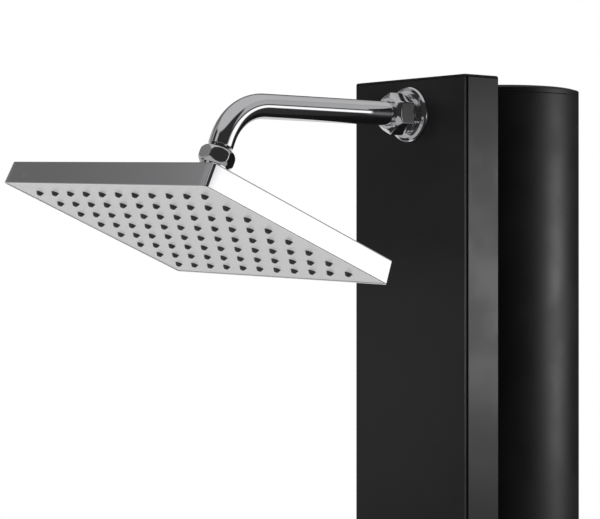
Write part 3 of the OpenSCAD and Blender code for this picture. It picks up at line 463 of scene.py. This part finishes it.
# %% [markdown]
# ## The nozzles
# A rubber mat lies behind the spray face, and its 88 nozzles stand through the face's holes, so that lime
# can be rubbed off them. Each is a small cone with a rounded tip and a sunk outlet. One nozzle is worked
# out as a turned shape, and adding the 88 places to its points makes all of them at once.

# %% The nozzle mat
pitch, columns, rows = 25.4 * mm, 11, 8
mat_z = 3.7 * mm
nozzle = np.array([(0, -1.9), (0.65, -1.9), (0.8, -2.5), (1.0, -2.6), (1.5, -2.6), (1.95, -2.45),
                   (2.3, -2.05), (3.45, 0.1), (3.6, 0.4), (3.6, 3.8), (0, 3.8)]) * mm
one = turned(nozzle, 20)
i, j = np.meshgrid(np.arange(columns) - (columns - 1) / 2, np.arange(rows) - (rows - 1) / 2)
spots = np.stack([i.ravel() * pitch, j.ravel() * pitch, 0 * i.ravel()], -1)
mat_edge = rounded([(4 * mm, mat_z), (0, mat_z), (0, mat_z + 1.6 * mm), (4 * mm, mat_z + 1.6 * mm)],
                   [0, 0.3 * mm, 0.3 * mm, 0])
mat = plate((0, 0), ((columns - 1) * pitch / 2 + 10 * mm, (rows - 1) * pitch / 2 + 10 * mm), 6 * mm, mat_edge)
drop = np.array([0, 0, face_z])
nozzle_mat = piece("nozzle_mat_moulded", [one + spot + drop for spot in spots] + [mat + drop], at_head)
print(len(spots), "nozzles,", len(nozzle_mat.data.polygons), "faces")

# %% [markdown]
# ## Mixer, foot tap and the cocks
# The fittings on the column are turned parts as well. The mixer's lever is a ball cap with a bent rod in
# it, and the foot tap's spout is a short tube. The hose inlet has a real thread: a ridge that climbs by one
# pitch in each turn.

# %% The mixer's plate, lever and button
at_mixer = on_front(mixer_z)
plate_edge = np.array([(37, 0.1), (37, 2), (35, 4), (27.8, 6), (25.8, 7), (25.8, 9), (24.8, 10), (22.3, 10),
                       (22.3, 3.2), (34, 3.2), (34, 0.1)]) * mm
plate_edge_r = np.array([0.2, 0.8, 1.5, 1.5, 0.5, 0.5, 0.4, 0.4, 0.2, 0.2, 0.2]) * mm
mixer_plate = piece("mixer_plate_turned", [turned(rounded(plate_edge, plate_edge_r, closed=True), 192)],
                    at_mixer, close_rows=True)

dome_z, cap_in, cap_out, cap_low, button_r = np.array([16, 22.4, 25.4, 12.85, 6.1]) * mm


def arc(radius, start, end, steps=24):
    """Points on a ball's outline: (radius sin a, radius cos a), with a from the top, in degrees."""
    a = np.radians(np.linspace(start, end, steps))
    return radius * np.stack([np.sin(a), np.cos(a)], -1)


def round_end(radius, start, steps=12):
    """A quarter circle that closes a rod on its axis: (radius cos a, start + radius sin a)."""
    a = np.linspace(0, math.pi / 2, steps)
    end = np.stack([radius * np.cos(a), start + radius * np.sin(a)], -1)
    end[-1, 0] = 0
    return end


rim_out, rim_in = np.degrees(np.arccos([cap_low / cap_out, cap_low / cap_in]))
screw_seat = np.array([(7.3, 14.2), (2.15, 14.2), (2.15, 20.6), (4.1, 20.6), (4.1, 23.2), (6.2, 23.2)]) * mm
lever_cap = np.vstack([arc(cap_out, math.degrees(math.asin((button_r + 0.1 * mm) / cap_out)), rim_out),
                       arc(cap_in, rim_in, math.degrees(math.asin(7.3 * mm / cap_in))), screw_seat])
rod = np.vstack([np.array([(0, 22.7), (5.6, 22.7), (5.7, 25), (5.8, 28.5), (5.6, 33), (4.9, 40), (4.6, 46),
                           (4.6, 102)]) * mm, round_end(4.6 * mm, 102.5 * mm)])
lean_out = Matrix.Rotation(math.radians(50), 4, "X")
lever_bend = (28.5 - 14 * math.tan(math.radians(15))) * mm, 14 * mm, math.radians(30)
at_dome = at_mixer @ Matrix.Translation((0, 0, dome_z))
mixer_lever = piece("mixer_lever_cast", [
    turned(np.vstack([lever_cap, lever_cap[:1]]), 128),
    moved(bent(divided(rod, 1.5 * mm), *lever_bend, sides=48), lean_out)], at_dome)
button = rounded([(0, 23.3 * mm), (button_r, 23.3 * mm), (button_r, 25.3 * mm), (0, 25.3 * mm)],
                 [0, 0.2 * mm, 0.5 * mm, 0])
lever_button = piece("lever_button_moulded", [turned(button, 64)], at_dome)
print("mixer:", len(mixer_lever.data.polygons), "faces in the lever")

# %% The foot tap
at_foot = on_front(foot_z)
foot_edge = np.array([(9.1, 0.1), (23, 0.1), (23, 2.5), (20.5, 5), (9.1, 5)]) * mm
foot_edge = rounded(foot_edge, np.array([0.2, 0.3, 1.0, 1.0, 0.3]) * mm, closed=True)
foot_flange = piece("foot_flange_turned", [turned(foot_edge)], at_foot, close_rows=True)


def rod_shape(radius, z0, z1, soft=0.4 * mm):
    """The profile of a plain round rod with softened ends."""
    return rounded([(0, z0), (radius, z0), (radius, z1), (0, z1)], [0, soft, soft, 0])


behind = -23.25 * mm
at_spout = Matrix.Translation((0, 0, 36 * mm)) @ Matrix.Rotation(math.radians(75), 4, "X")
sideways = Matrix.Translation((0, 0, behind)) @ Matrix.Rotation(math.radians(-90), 4, "Y")
spout = rounded(np.array([(5, 0), (8, 0), (8, 30), (5, 30)]) * mm, 0.5 * mm, closed=True)
barrel = rounded(np.array([(0, 5.1), (11, 5.1), (11, 8), (10.4, 8.6), (10.4, 46), (11, 46.6), (11, 50),
                           (0, 50)]) * mm,
                 np.array([0, 0.4, 0.3, 0.3, 0.3, 0.3, 0.5, 0]) * mm)
foot_body = piece("foot_tap_turned", [
    turned(barrel), turned(rod_shape(9 * mm, behind, 6 * mm, 4 * mm)),
    moved(turned(rod_shape(8 * mm, 0, 16 * mm)), sideways),
    moved(turned(np.vstack([spout, spout[:1]])), at_spout)], at_foot)
aerator = rounded(np.array([(3.5, 25), (4.9, 25), (4.9, 30.1), (8.8, 30.1), (8.8, 35), (6.5, 35), (5.5, 34),
                            (3.5, 34)]) * mm,
                  np.array([0.1, 0.1, 0.1, 0.4, 0.6, 0.3, 0.3, 0.2]) * mm, closed=True)
foot_aerator = piece("foot_aerator_moulded", [turned(aerator, 64)], at_foot @ at_spout, close_rows=True)
knob = rounded(np.array([(0, 50.3), (13, 50.3), (13, 61), (11.5, 63), (0, 63)]) * mm,
               np.array([0, 0.6, 1, 1, 0]) * mm)
bar_r = 4 * mm
bar = np.vstack([[(0, 6 * mm), (bar_r, 6 * mm), (bar_r, 45.5 * mm)], round_end(bar_r, 46 * mm)])
at_bar = Matrix.Translation((0, 0, 56.5 * mm)) @ Matrix.Rotation(math.radians(-90), 4, "X")
foot_lever = piece("foot_lever_turned", [turned(knob), moved(turned(bar, 48), at_bar)], at_foot)
print("foot tap:", len(foot_body.data.polygons), "faces in its body")

# %% The drain cock and the hose inlet
tank_y = (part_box("tank_tube")[0].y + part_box("tank_tube")[1].y) / 2
drain_z = sum(corner.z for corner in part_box("drain_body")) / 2
at_drain = Matrix.Translation((0, tank_y + tank_r, drain_z)) @ Matrix.Rotation(math.radians(-90), 4, "X")
barbs = [(radius, 31.5 + 3.1 * step + rise) for step in range(3)
         for radius, rise in ((6.4, 0), (7.4, 2.6), (6.4, 2.9))]
body = np.array([(3.5, -12), (8, -12), (8, 0.6), (13, 0.6), (13, 4), (9, 4), (9, 30), (6.4, 30)] + barbs
                + [(6.4, 41), (7.5, 41.2), (7.5, 43.4), (6.9, 44), (3.5, 44)]) * mm
drain_body = piece("drain_body_turned", [turned(np.vstack([body, body[:1]]), 96)], at_drain)
at_key = at_drain @ Matrix.Translation((0, 0, 18 * mm)) @ Matrix.Rotation(math.radians(90), 4, "X")
key_edge = rounded([(2 * mm, 12 * mm), (0, 12 * mm), (0, 24 * mm), (2 * mm, 24 * mm)],
                   [0, 0.5 * mm, 1.2 * mm, 0])
drain_key = piece("drain_key_pressed", [
    turned(rod_shape(5 * mm, -5.5 * mm, 14 * mm), 64),
    plate((0, 0), (13 * mm, 2 * mm), 1.9 * mm, key_edge, sides=(8, 2))], at_key)


def threaded(grid, low, high, pitch, depth):
    """A thread cut into a turned shape. At height z and angle a, the ridge's phase is z / pitch - a / 2 pi,
    and the radius shrinks by depth |2 phase - 1| for the phase's part after the point. It fades out at both
    ends."""
    x, y, z = np.moveaxis(grid, -1, 0)
    phase = np.mod(z / pitch - np.arctan2(y, x) / (2 * math.pi), 1)
    fade = np.clip(np.minimum(z - low, high - z) / (0.6 * pitch), 0, 1)
    shrink = 1 - fade * depth * np.abs(2 * phase - 1) / np.maximum(np.hypot(x, y), 1e-6)
    return np.stack([x * shrink, y * shrink, z], -1)


inlet_lo, inlet_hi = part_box("inlet_nipple")
at_inlet = (Matrix.Translation((0, (inlet_lo.y + inlet_hi.y) / 2, (inlet_lo.z + inlet_hi.z) / 2))
            @ Matrix.Rotation(math.radians(-90), 4, "Y"))
outside_wall, against_wall = half_w + 4 * mm, half_w + 0.1 * mm
inlet_bore, thread_r, thread_pitch, thread_depth = 7 * mm, 13.22 * mm, 1.814 * mm, 1.1 * mm
thread = divided([(thread_r, outside_wall + 0.4 * mm), (thread_r, -inlet_lo.x)], 0.2 * mm)
shank = np.array([(inlet_bore, -inlet_hi.x), (10 * mm, -inlet_hi.x), (10 * mm, against_wall),
                  (17.2 * mm, against_wall), (17.2 * mm, outside_wall - 0.6 * mm), (16.6 * mm, outside_wall),
                  (12.6 * mm, outside_wall)])
inlet = turned(np.vstack([shank, thread, [(inlet_bore, -inlet_lo.x)], shank[:1]]), 96)
cut = threaded(inlet[len(shank):-2], outside_wall, -inlet_lo.x + 0.2 * mm, thread_pitch, thread_depth)
inlet_nipple = piece("inlet_nipple_turned", [np.concatenate([inlet[:len(shank)], cut, inlet[-2:]])], at_inlet)
print("inlet thread:", len(thread), "rows,", len(inlet_nipple.data.polygons), "faces")

# %% Screws with hexagon sockets
def screw_rows(head, length, socket=2.5 * mm, deep=1.3 * mm, shank=2 * mm, per_flat=8):
    """A screw from the middle of its socket's floor, up the socket's six walls, over the head and down the
    shank. At the angle u from the middle of the nearest wall, the wall lies socket / 2 / cos(u) from the
    axis."""
    angle = np.linspace(0, 2 * math.pi, 6 * per_flat, endpoint=False)
    wall = socket / 2 / np.cos(np.mod(angle, math.pi / 3) - math.pi / 6)
    top = head[0][1]
    rows = [(0 * angle, top - deep), (wall, top - deep), (wall, top - 0.05 * mm), (wall + 0.1 * mm, top)]
    rows += [(radius + 0 * angle, height) for radius, height in [*head, (shank, -length), (0, -length)]]
    return np.stack([np.stack([r * np.cos(angle), r * np.sin(angle), z + 0 * angle], -1) for r, z in rows])


flat_head = np.array([(3.2, 0), (3.4, -0.1), (2, -1.4)]) * mm
pan_head = np.array([(2.6, 2.6), (3.3, 2.4), (3.7, 1.9), (3.8, 1.2), (3.8, 0), (2, 0)]) * mm
lo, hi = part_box("cap_screws")
cap_screws = piece("cap_screws_turned", [
    moved(screw_rows(flat_head, 16 * mm),
          Matrix.Translation((side * (hi.x - 3.4 * mm), (lo.y + hi.y) / 2, hi.z)))
    for side in (-1, 1)])
lo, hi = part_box("shoe_screws")
shoe_screws = piece("shoe_screws_turned", [
    moved(screw_rows(pan_head, 9 * mm), Matrix.Translation((side * half_w, (lo.y + hi.y) / 2, z))
          @ Matrix.Rotation(side * math.radians(90), 4, "Y"))
    for side in (-1, 1) for z in (lo.z + 3.8 * mm, hi.z - 3.8 * mm)])
print("screws:", len(cap_screws.data.polygons), "and", len(shoe_screws.data.polygons), "faces")

# %% [markdown]
# ## Softened copies
# Some pieces have holes and slots that a grid can't follow. Each of these gets a copy of its CAD mesh with
# the loose corners merged, the flat triangles joined, and every sharp edge cut back by a narrow round
# bevel.

# %% Softened copies
def softened(node, width, segments=3):
    """A copy of the CAD mesh with its edges rounded by about 'width'."""
    made = bpy.data.objects.new(node + "_softened", nodes[node].data.copy())
    bpy.context.scene.collection.objects.link(made)
    made.data.transform(nodes[node].matrix_world)
    work = bmesh.new()
    work.from_mesh(made.data)
    bmesh.ops.remove_doubles(work, verts=work.verts, dist=2e-6)
    bmesh.ops.dissolve_limit(work, angle_limit=math.radians(0.5), verts=work.verts, edges=work.edges)
    work.to_mesh(made.data)
    work.free()
    made.data.polygons.foreach_set("use_smooth", np.full(len(made.data.polygons), True))
    bevel = made.modifiers.new("soft edges", "BEVEL")
    bevel.width, bevel.segments, bevel.limit_method = width, segments, "ANGLE"
    bevel.angle_limit, bevel.harden_normals = math.radians(32), True
    return made


soft_pieces = {node: softened(node, width) for node, width in (
    ("base_plate", 1.2 * mm), ("mixer_dome", 0.3 * mm), ("lower_saddle", 1 * mm), ("middle_saddle", 1 * mm),
    ("upper_saddle", 1 * mm))}
print("softened:", sorted(soft_pieces))

# %% [markdown]
# ## Finishes
# Each finish is built from shader nodes on object coordinates, so a pattern keeps its size on every piece.
# Effects that several finishes share are node groups: a fine grain for powder coat and moulded plastic,
# dried water marks, and dust that settles on what faces up. A group only puts out values that change over
# the surface.

# %% Wiring helpers
def wired(tree, kind, inputs=(), **settings):
    """Adds a shader node. An input takes either a plain value or another node's socket."""
    made = tree.nodes.new(kind)
    for name, value in settings.items():
        setattr(made, name, value)
    for name, value in dict(inputs).items():
        if isinstance(value, bpy.types.NodeSocket):
            tree.links.new(value, made.inputs[name])
        else:
            made.inputs[name].default_value = value
    return made


def effect(name, inputs, outputs):
    """An empty node group with named inputs and outputs, all plain numbers but for a 'Coordinates' vector."""
    tree = bpy.data.node_groups.new(name, "ShaderNodeTree")
    for label, value in inputs.items():
        kind = "NodeSocketVector" if label == "Coordinates" else "NodeSocketFloat"
        socket = tree.interface.new_socket(label, in_out="INPUT", socket_type=kind)
        if kind == "NodeSocketFloat":
            socket.default_value = value
    for label in outputs:
        tree.interface.new_socket(label, in_out="OUTPUT", socket_type="NodeSocketFloat")
    return tree, tree.nodes.new("NodeGroupInput").outputs, tree.nodes.new("NodeGroupOutput")


def noise(tree, coordinates, scale, detail=3.0, roughness=0.5):
    """Soft noise between 0 and 1, with 'scale' spots to the metre."""
    inputs = {"Vector": coordinates, "Scale": scale, "Detail": detail, "Roughness": roughness}
    return wired(tree, "ShaderNodeTexNoise", inputs).outputs["Fac"]


def maths(tree, operation, a, b=0.0, c=0.0):
    """One step of arithmetic on plain values or sockets."""
    return wired(tree, "ShaderNodeMath", {0: a, 1: b, 2: c}, operation=operation).outputs[0]


def ranged(tree, value, from_min, from_max, to_min=0.0, to_max=1.0):
    """A smooth step from to_min to to_max, while the value goes from from_min to from_max."""
    inputs = {"Value": value, "From Min": from_min, "From Max": from_max, "To Min": to_min, "To Max": to_max}
    return wired(tree, "ShaderNodeMapRange", inputs, interpolation_type="SMOOTHSTEP").outputs["Result"]


# %% Fine grain
grain, given, out = effect(
    "Fine grain", {"Coordinates": None, "Grain per metre": 900.0, "Patch per metre": 14.0},
    ["Height", "Patch"])
fine = noise(grain, given["Coordinates"], given["Grain per metre"], 2.0)
broad = noise(grain, given["Coordinates"], given["Patch per metre"], 3.0)
grain.links.new(fine, out.inputs["Height"])
grain.links.new(ranged(grain, broad, 0.3, 0.7), out.inputs["Patch"])

# %% Water marks and dust
marks, given, out = effect("Water marks", {"Coordinates": None, "Drops per metre": 60.0}, ["Mark"])
run = wired(marks, "ShaderNodeMapping",
            {"Vector": given["Coordinates"], "Scale": (1.0, 1.0, 0.35)}).outputs[0]
cells = wired(marks, "ShaderNodeTexVoronoi", {"Vector": run, "Scale": given["Drops per metre"]},
              feature="F1").outputs["Distance"]
where = ranged(marks, noise(marks, given["Coordinates"], 9.0), 0.52, 0.68)
rim = maths(marks, "MULTIPLY", ranged(marks, cells, 0.22, 0.30), ranged(marks, cells, 0.42, 0.32))
marks.links.new(maths(marks, "MULTIPLY", rim, where), out.inputs["Mark"])

dust, given, out = effect("Settled dust", {"Coordinates": None, "Splash height": 0.25}, ["Dust"])
normal = wired(dust, "ShaderNodeNewGeometry").outputs["Normal"]
up = ranged(dust, wired(dust, "ShaderNodeSeparateXYZ", {0: normal}).outputs["Z"], 0.55, 0.95)
height = wired(dust, "ShaderNodeSeparateXYZ", {0: given["Coordinates"]}).outputs["Z"]
low = maths(dust, "MULTIPLY", ranged(dust, height, given["Splash height"], 0.0), 0.6)
clouds = ranged(dust, noise(dust, given["Coordinates"], 60.0, 6.0, 0.75), 0.25, 0.85)
dust.links.new(maths(dust, "MULTIPLY", maths(dust, "MAXIMUM", up, low), clouds), out.inputs["Dust"])
print("groups:", [tree.name for tree in bpy.data.node_groups])


# %% What the finishes have in common
def finish(slot, colour, roughness, metallic=0.0, specular=0.5, coat=0.0, coat_roughness=0.1, ior=1.5):
    """A Principled shader with its plain values, and the object coordinates for its patterns."""
    made = bpy.data.materials.new(slot)
    made.use_nodes = True
    tree = made.node_tree
    shader = tree.nodes["Principled BSDF"]
    plain = {"Base Color": (*colour, 1.0), "Roughness": roughness, "Metallic": metallic, "IOR": ior,
             "Specular IOR Level": specular, "Coat Weight": coat, "Coat Roughness": coat_roughness}
    for name, value in plain.items():
        shader.inputs[name].default_value = value
    made.diffuse_color = (*colour, 1.0)
    made.roughness, made.metallic = roughness, metallic
    finishes[slot] = made
    return tree, shader, tree.nodes.new("ShaderNodeTexCoord").outputs["Object"]


def placed(tree, group, coordinates, **inputs):
    """A node group in a material. An underscore in an input's name stands for a space."""
    made = wired(tree, "ShaderNodeGroup", node_tree=group)
    tree.links.new(coordinates, made.inputs["Coordinates"])
    for name, value in inputs.items():
        made.inputs[name.replace("_", " ")].default_value = value
    return made.outputs


def blended(tree, share, low, high):
    """The colour low where the share is 0, and high where it is 1."""
    made = wired(tree, "ShaderNodeMix", data_type="RGBA")
    for socket, value in ((made.inputs["Factor"], share), (made.inputs[6], low), (made.inputs[7], high)):
        if isinstance(value, bpy.types.NodeSocket):
            tree.links.new(value, socket)
        else:
            socket.default_value = (*value, 1.0) if isinstance(value, tuple) else value
    return made.outputs[2]


def bumped(tree, shader, height, strength, distance):
    """Height becomes a bump of that many metres."""
    bump = wired(tree, "ShaderNodeBump", {"Height": height, "Strength": strength, "Distance": distance})
    tree.links.new(bump.outputs["Normal"], shader.inputs["Normal"])


finishes = {}


def grained(slot, colour, worn, roughness, spread, grain_size, bump, specular=0.5, dusty=0.06):
    """Powder coat, moulded plastic or rubber: grain in the bump, patches in the roughness, dust in the
    colour."""
    tree, shader, where = finish(slot, colour, roughness, specular=specular)
    fine = placed(tree, grain, where, Grain_per_metre=1 / grain_size)
    tint = blended(tree, fine["Patch"], colour, worn)
    dusted = maths(tree, "MULTIPLY", placed(tree, dust, where)["Dust"], dusty)
    tree.links.new(blended(tree, dusted, tint, (0.36, 0.33, 0.29)), shader.inputs["Base Color"])
    rough = ranged(tree, fine["Patch"], 0.0, 1.0, roughness - spread, roughness + spread)
    dulled = maths(tree, "ADD", rough, maths(tree, "MULTIPLY", dusted, 0.4))
    tree.links.new(dulled, shader.inputs["Roughness"])
    bumped(tree, shader, fine["Height"], 0.35, bump)


grained("black_paint", (0.0045, 0.0045, 0.005), (0.0065, 0.0065, 0.007), 0.34, 0.03, 0.9 * mm, 0.03 * mm,
        specular=0.16)
grained("tank_plastic", (0.004, 0.004, 0.0045), (0.006, 0.006, 0.0065), 0.46, 0.04, 1.6 * mm, 0.04 * mm,
        specular=0.30)
grained("rubber", (0.02, 0.02, 0.021), (0.03, 0.03, 0.031), 0.7, 0.08, 0.6 * mm, 0.05 * mm)
grained("nozzle_rubber", (0.045, 0.046, 0.05), (0.06, 0.061, 0.065), 0.42, 0.05, 0.4 * mm, 0.02 * mm,
        dusty=0.03)
grained("hose", (0.22, 0.23, 0.24), (0.28, 0.29, 0.30), 0.5, 0.06, 1.0 * mm, 0.08 * mm)
grained("white_plastic", (0.78, 0.77, 0.73), (0.82, 0.81, 0.78), 0.42, 0.05, 0.8 * mm, 0.02 * mm)
grained("grey_plastic", (0.20, 0.205, 0.215), (0.24, 0.245, 0.255), 0.38, 0.05, 0.6 * mm, 0.02 * mm)
grained("face_plastic", (0.80, 0.80, 0.81), (0.84, 0.84, 0.85), 0.34, 0.05, 0.7 * mm, 0.015 * mm, dusty=0.0)
print("grained finishes:", sorted(finishes))

# %% [markdown]
# ### Chrome, brass and steel
# Chrome is a thin bright skin. What makes it look real is what it mirrors, so it gets only faint water
# marks and a hint of unevenness. Brass and steel are plainer: a drawn or machined surface with a tarnish
# that comes and goes.

# %% Metals
def metal(slot, colour, worn, roughness, spread, grain_size, bump, mark=0.0):
    """Patches tint the metal and change its roughness, and dried drops leave rougher rims."""
    tree, shader, where = finish(slot, colour, roughness, metallic=1.0)
    fine = placed(tree, grain, where, Grain_per_metre=1 / grain_size)
    tree.links.new(blended(tree, fine["Patch"], colour, worn), shader.inputs["Base Color"])
    rough = ranged(tree, fine["Patch"], 0.0, 1.0, roughness - spread, roughness + spread)
    drops = maths(tree, "MULTIPLY", placed(tree, marks, where)["Mark"], mark)
    tree.links.new(maths(tree, "ADD", rough, drops), shader.inputs["Roughness"])
    bumped(tree, shader, fine["Height"], 0.2, bump)


metal("chrome", (0.80, 0.80, 0.82), (0.77, 0.77, 0.79), 0.06, 0.015, 12 * mm, 0.01 * mm, mark=0.10)
metal("brass", (0.66, 0.47, 0.22), (0.50, 0.35, 0.17), 0.30, 0.08, 0.8 * mm, 0.02 * mm, mark=0.1)
metal("steel", (0.56, 0.56, 0.57), (0.48, 0.48, 0.49), 0.28, 0.06, 0.5 * mm, 0.015 * mm)
print("finishes:", len(finishes))

# %% [markdown]
# ## Every piece gets its body and its finish
# A piece moves with the body of the CAD nodes that it stands for, and takes the finish of their material
# slot. The nodes that stay as they are get their slot's finish as well.

# %% Bodies and finishes
slot_of = {part["node"]: part["material_slot"] for part in frame["record"]["subparts"]}
body_of = {name: node.parent.name.split(":")[1] for name, node in nodes.items()}
stand_ins = {"column_profile": column_profile, "front_panel": front_panel, "column_cap": column_cap,
             "tank_tube": tank_tube, "tank_cap": tank_cap, "arm_flange": arm_flange,
             "arm_nipple": arm_nipple, "union_nut": union_nut, "shower_arm": shower_arm,
             "swivel_nut": swivel_nut, "head_shell": head_shell, "nozzle_mat": nozzle_mat,
             "mixer_plate": mixer_plate, "mixer_lever": mixer_lever, "lever_button": lever_button,
             "foot_tap_flange": foot_flange, "foot_tap_body": foot_body, "foot_aerator": foot_aerator,
             "foot_lever": foot_lever, "drain_body": drain_body, "drain_key": drain_key,
             "inlet_nipple": inlet_nipple, "cap_screws": cap_screws, "shoe_screws": shoe_screws,
             **soft_pieces}
for name, made in stand_ins.items():
    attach(made, body_of[name])
    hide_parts(name)
    made.data.materials.clear()
    made.data.materials.append(finishes[slot_of[name]])
for name, node in nodes.items():
    node.data.materials.clear()
    node.data.materials.append(finishes[slot_of[name]])
print(len(stand_ins), "nodes have a finer piece in their place")

# %% [markdown]
# ## The studio
# The shower stands on a pale floor in a white room. Chrome shows nothing but the room, so the room has what
# a photographer of chrome would put in it: a bright window, grey cards and dark cloths. They stand in fixed
# directions and only mirrors see them. Plain light falls from all sides. Black paint shows little but a
# soft sheen, so three more lamps are linked to the column and the tank alone.

# %% The room
world = bpy.data.worlds.new("white room")
bpy.context.scene.world = world
world.use_nodes = True
room = world.node_tree
room.nodes.clear()
looking = room.nodes.new("ShaderNodeTexCoord").outputs["Generated"]
direction = wired(room, "ShaderNodeSeparateXYZ", {0: looking}).outputs
azimuth = maths(room, "DEGREES", maths(room, "ARCTAN2", direction["Y"], direction["X"]))
elevation = maths(room, "DEGREES", maths(room, "ARCSINE", direction["Z"]))


def edge(value, start, soft):
    """0 below the start and 1 above it, with a smooth step that is 2 soft wide."""
    return ranged(room, value, start - soft, start + soft)


def card(behind, brightness, az, el, soft=3.0):
    """A card in front of what is behind it: it spans azimuths az and elevations el, in degrees, with soft
    edges."""
    sides = maths(room, "SUBTRACT", edge(azimuth, az[0], soft), edge(azimuth, az[1], soft))
    ends = maths(room, "SUBTRACT", edge(elevation, el[0], soft), edge(elevation, el[1], soft))
    share = maths(room, "MULTIPLY", sides, ends)
    return maths(room, "MULTIPLY_ADD", share, maths(room, "SUBTRACT", brightness, behind), behind)


# Each card has a brightness, its azimuths, its elevations and the softness of its edges, in degrees.
ceiling, walls, window, low, high = 0.53, 0.03, 1.3, -100, 46
cards = [(walls, (-200, 200), (low, 42), 3.0), (0.45, (20, 130), (14, 42), 2.0),
         (window, (8, 66), (-9, 6), 3.5)]
for az, top in (((140, 200), 24), ((-200, -150), 24), ((-150, -133), 29)):
    cards += [(0.15, az, (top, high), 3.0), (0.45, az, (-8, top), 3.0)]
cards += [(0.31, (-155, -133), (29, high), 4.0), (0.50, (-106, -80), (25, high), 3.0)]
cards += [(0.75, az, (low, -10), 6.0) for az in ((118, 200), (-200, -160))]
seen = ceiling
for brightness, az, el, soft in cards:
    seen = card(seen, brightness, az, el, soft)
path = room.nodes.new("ShaderNodeLightPath").outputs
mirrored = maths(room, "MAXIMUM", path["Is Glossy Ray"], path["Is Transmission Ray"])
plain_light = 0.57
plain = maths(room, "MULTIPLY_ADD", path["Is Camera Ray"], 1.0 - plain_light, plain_light)
strength = maths(room, "MULTIPLY_ADD", mirrored, maths(room, "SUBTRACT", seen, plain), plain)
light = wired(room, "ShaderNodeBackground", {"Color": (1.0, 1.0, 1.0, 1.0), "Strength": strength})
wired(room, "ShaderNodeOutputWorld", {"Surface": light.outputs[0]})


# %% The floor
def flat_disc(radius, rings=12, sides=96):
    """Rings of points in the floor's plane, closer together towards the middle: radius t^1.5."""
    t = np.linspace(1, 0, rings) ** 1.5
    angle = np.linspace(0, 2 * math.pi, sides, endpoint=False)
    spread = radius * t[:, None]
    return np.stack([spread * np.cos(angle), spread * np.sin(angle), 0 * spread * angle - 0.5 * mm], -1)


floor_r = 3.2
floor = piece("floor", [flat_disc(floor_r)], close_ends=False)
pale = bpy.data.materials.new("pale floor")
pale.use_nodes = True
tree = pale.node_tree
shader = tree.nodes["Principled BSDF"]
shader.inputs["Base Color"].default_value = (0.86, 0.86, 0.86, 1.0)
shader.inputs["Roughness"].default_value = 0.8
place = wired(tree, "ShaderNodeVectorMath", {0: tree.nodes.new("ShaderNodeTexCoord").outputs["Object"]},
              operation="LENGTH").outputs["Value"]
clear = tree.nodes.new("ShaderNodeBsdfTransparent").outputs[0]
mixed = wired(tree, "ShaderNodeMixShader", {0: ranged(tree, place, 0.45 * floor_r, 0.98 * floor_r),
                                            1: shader.outputs[0], 2: clear})
tree.links.new(mixed.outputs[0], tree.nodes["Material Output"].inputs["Surface"])
floor.data.materials.append(pale)
floor.visible_glossy = False


# %% The lamps
def lamp(name, place, target, size, power):
    """A square soft lamp that faces its target. No mirror shows it."""
    light = bpy.data.lights.new(name, "AREA")
    light.size, light.energy = size, power
    made = bpy.data.objects.new(name, light)
    made.location = place
    made.rotation_euler = (Vector(target) - Vector(place)).to_track_quat("-Z", "Y").to_euler()
    made.visible_glossy = False
    bpy.context.scene.collection.objects.link(made)
    return made


def sheen(name, target, azimuth, size, power, pieces):
    """A wide lamp level with its target, for the sheen of a few dark pieces. It lights and shows in nothing
    else."""
    turn = math.radians(azimuth)
    away = sheen_distance * Vector((math.cos(turn), math.sin(turn), 0.0))
    made = lamp(name, target + away, target, size[0], power)
    made.data.shape = "RECTANGLE"
    made.data.size_y = size[1]
    made.visible_glossy, made.visible_camera = True, False
    lit = bpy.data.collections.new(name)
    for one in pieces:
        lit.objects.link(one)
    made.light_linking.receiver_collection = lit


sheen_distance = 1.3
lamp("key", (-2.2, -2.6, 3.6), (0, 0, 1.6), 1.8, 60)
lamp("fill", (-1.6, -1.7, 0.9), ball, 0.8, 5)
column, tank = [column_profile, front_panel, column_cap], [tank_tube, tank_cap]
sheen("side sheen", Vector((half_w, (face_y + back_y) / 2, 1.95)), 45.6, (0.42, 0.42), 6.5, column + tank)
sheen("front sheen", Vector((0.0, face_y, 1.78)), 220, (0.36, 0.36), 0.40, column)
sheen("arris sheen", Vector((half_w, face_y, 1.95)), -45, (2.0, 0.4), 28, [front_panel, column_cap])
bpy.context.scene.view_settings.view_transform = "Standard"
print("studio: a floor", 2 * floor_r, "m wide,", len(cards), "cards and", len(bpy.data.lights), "lamps")
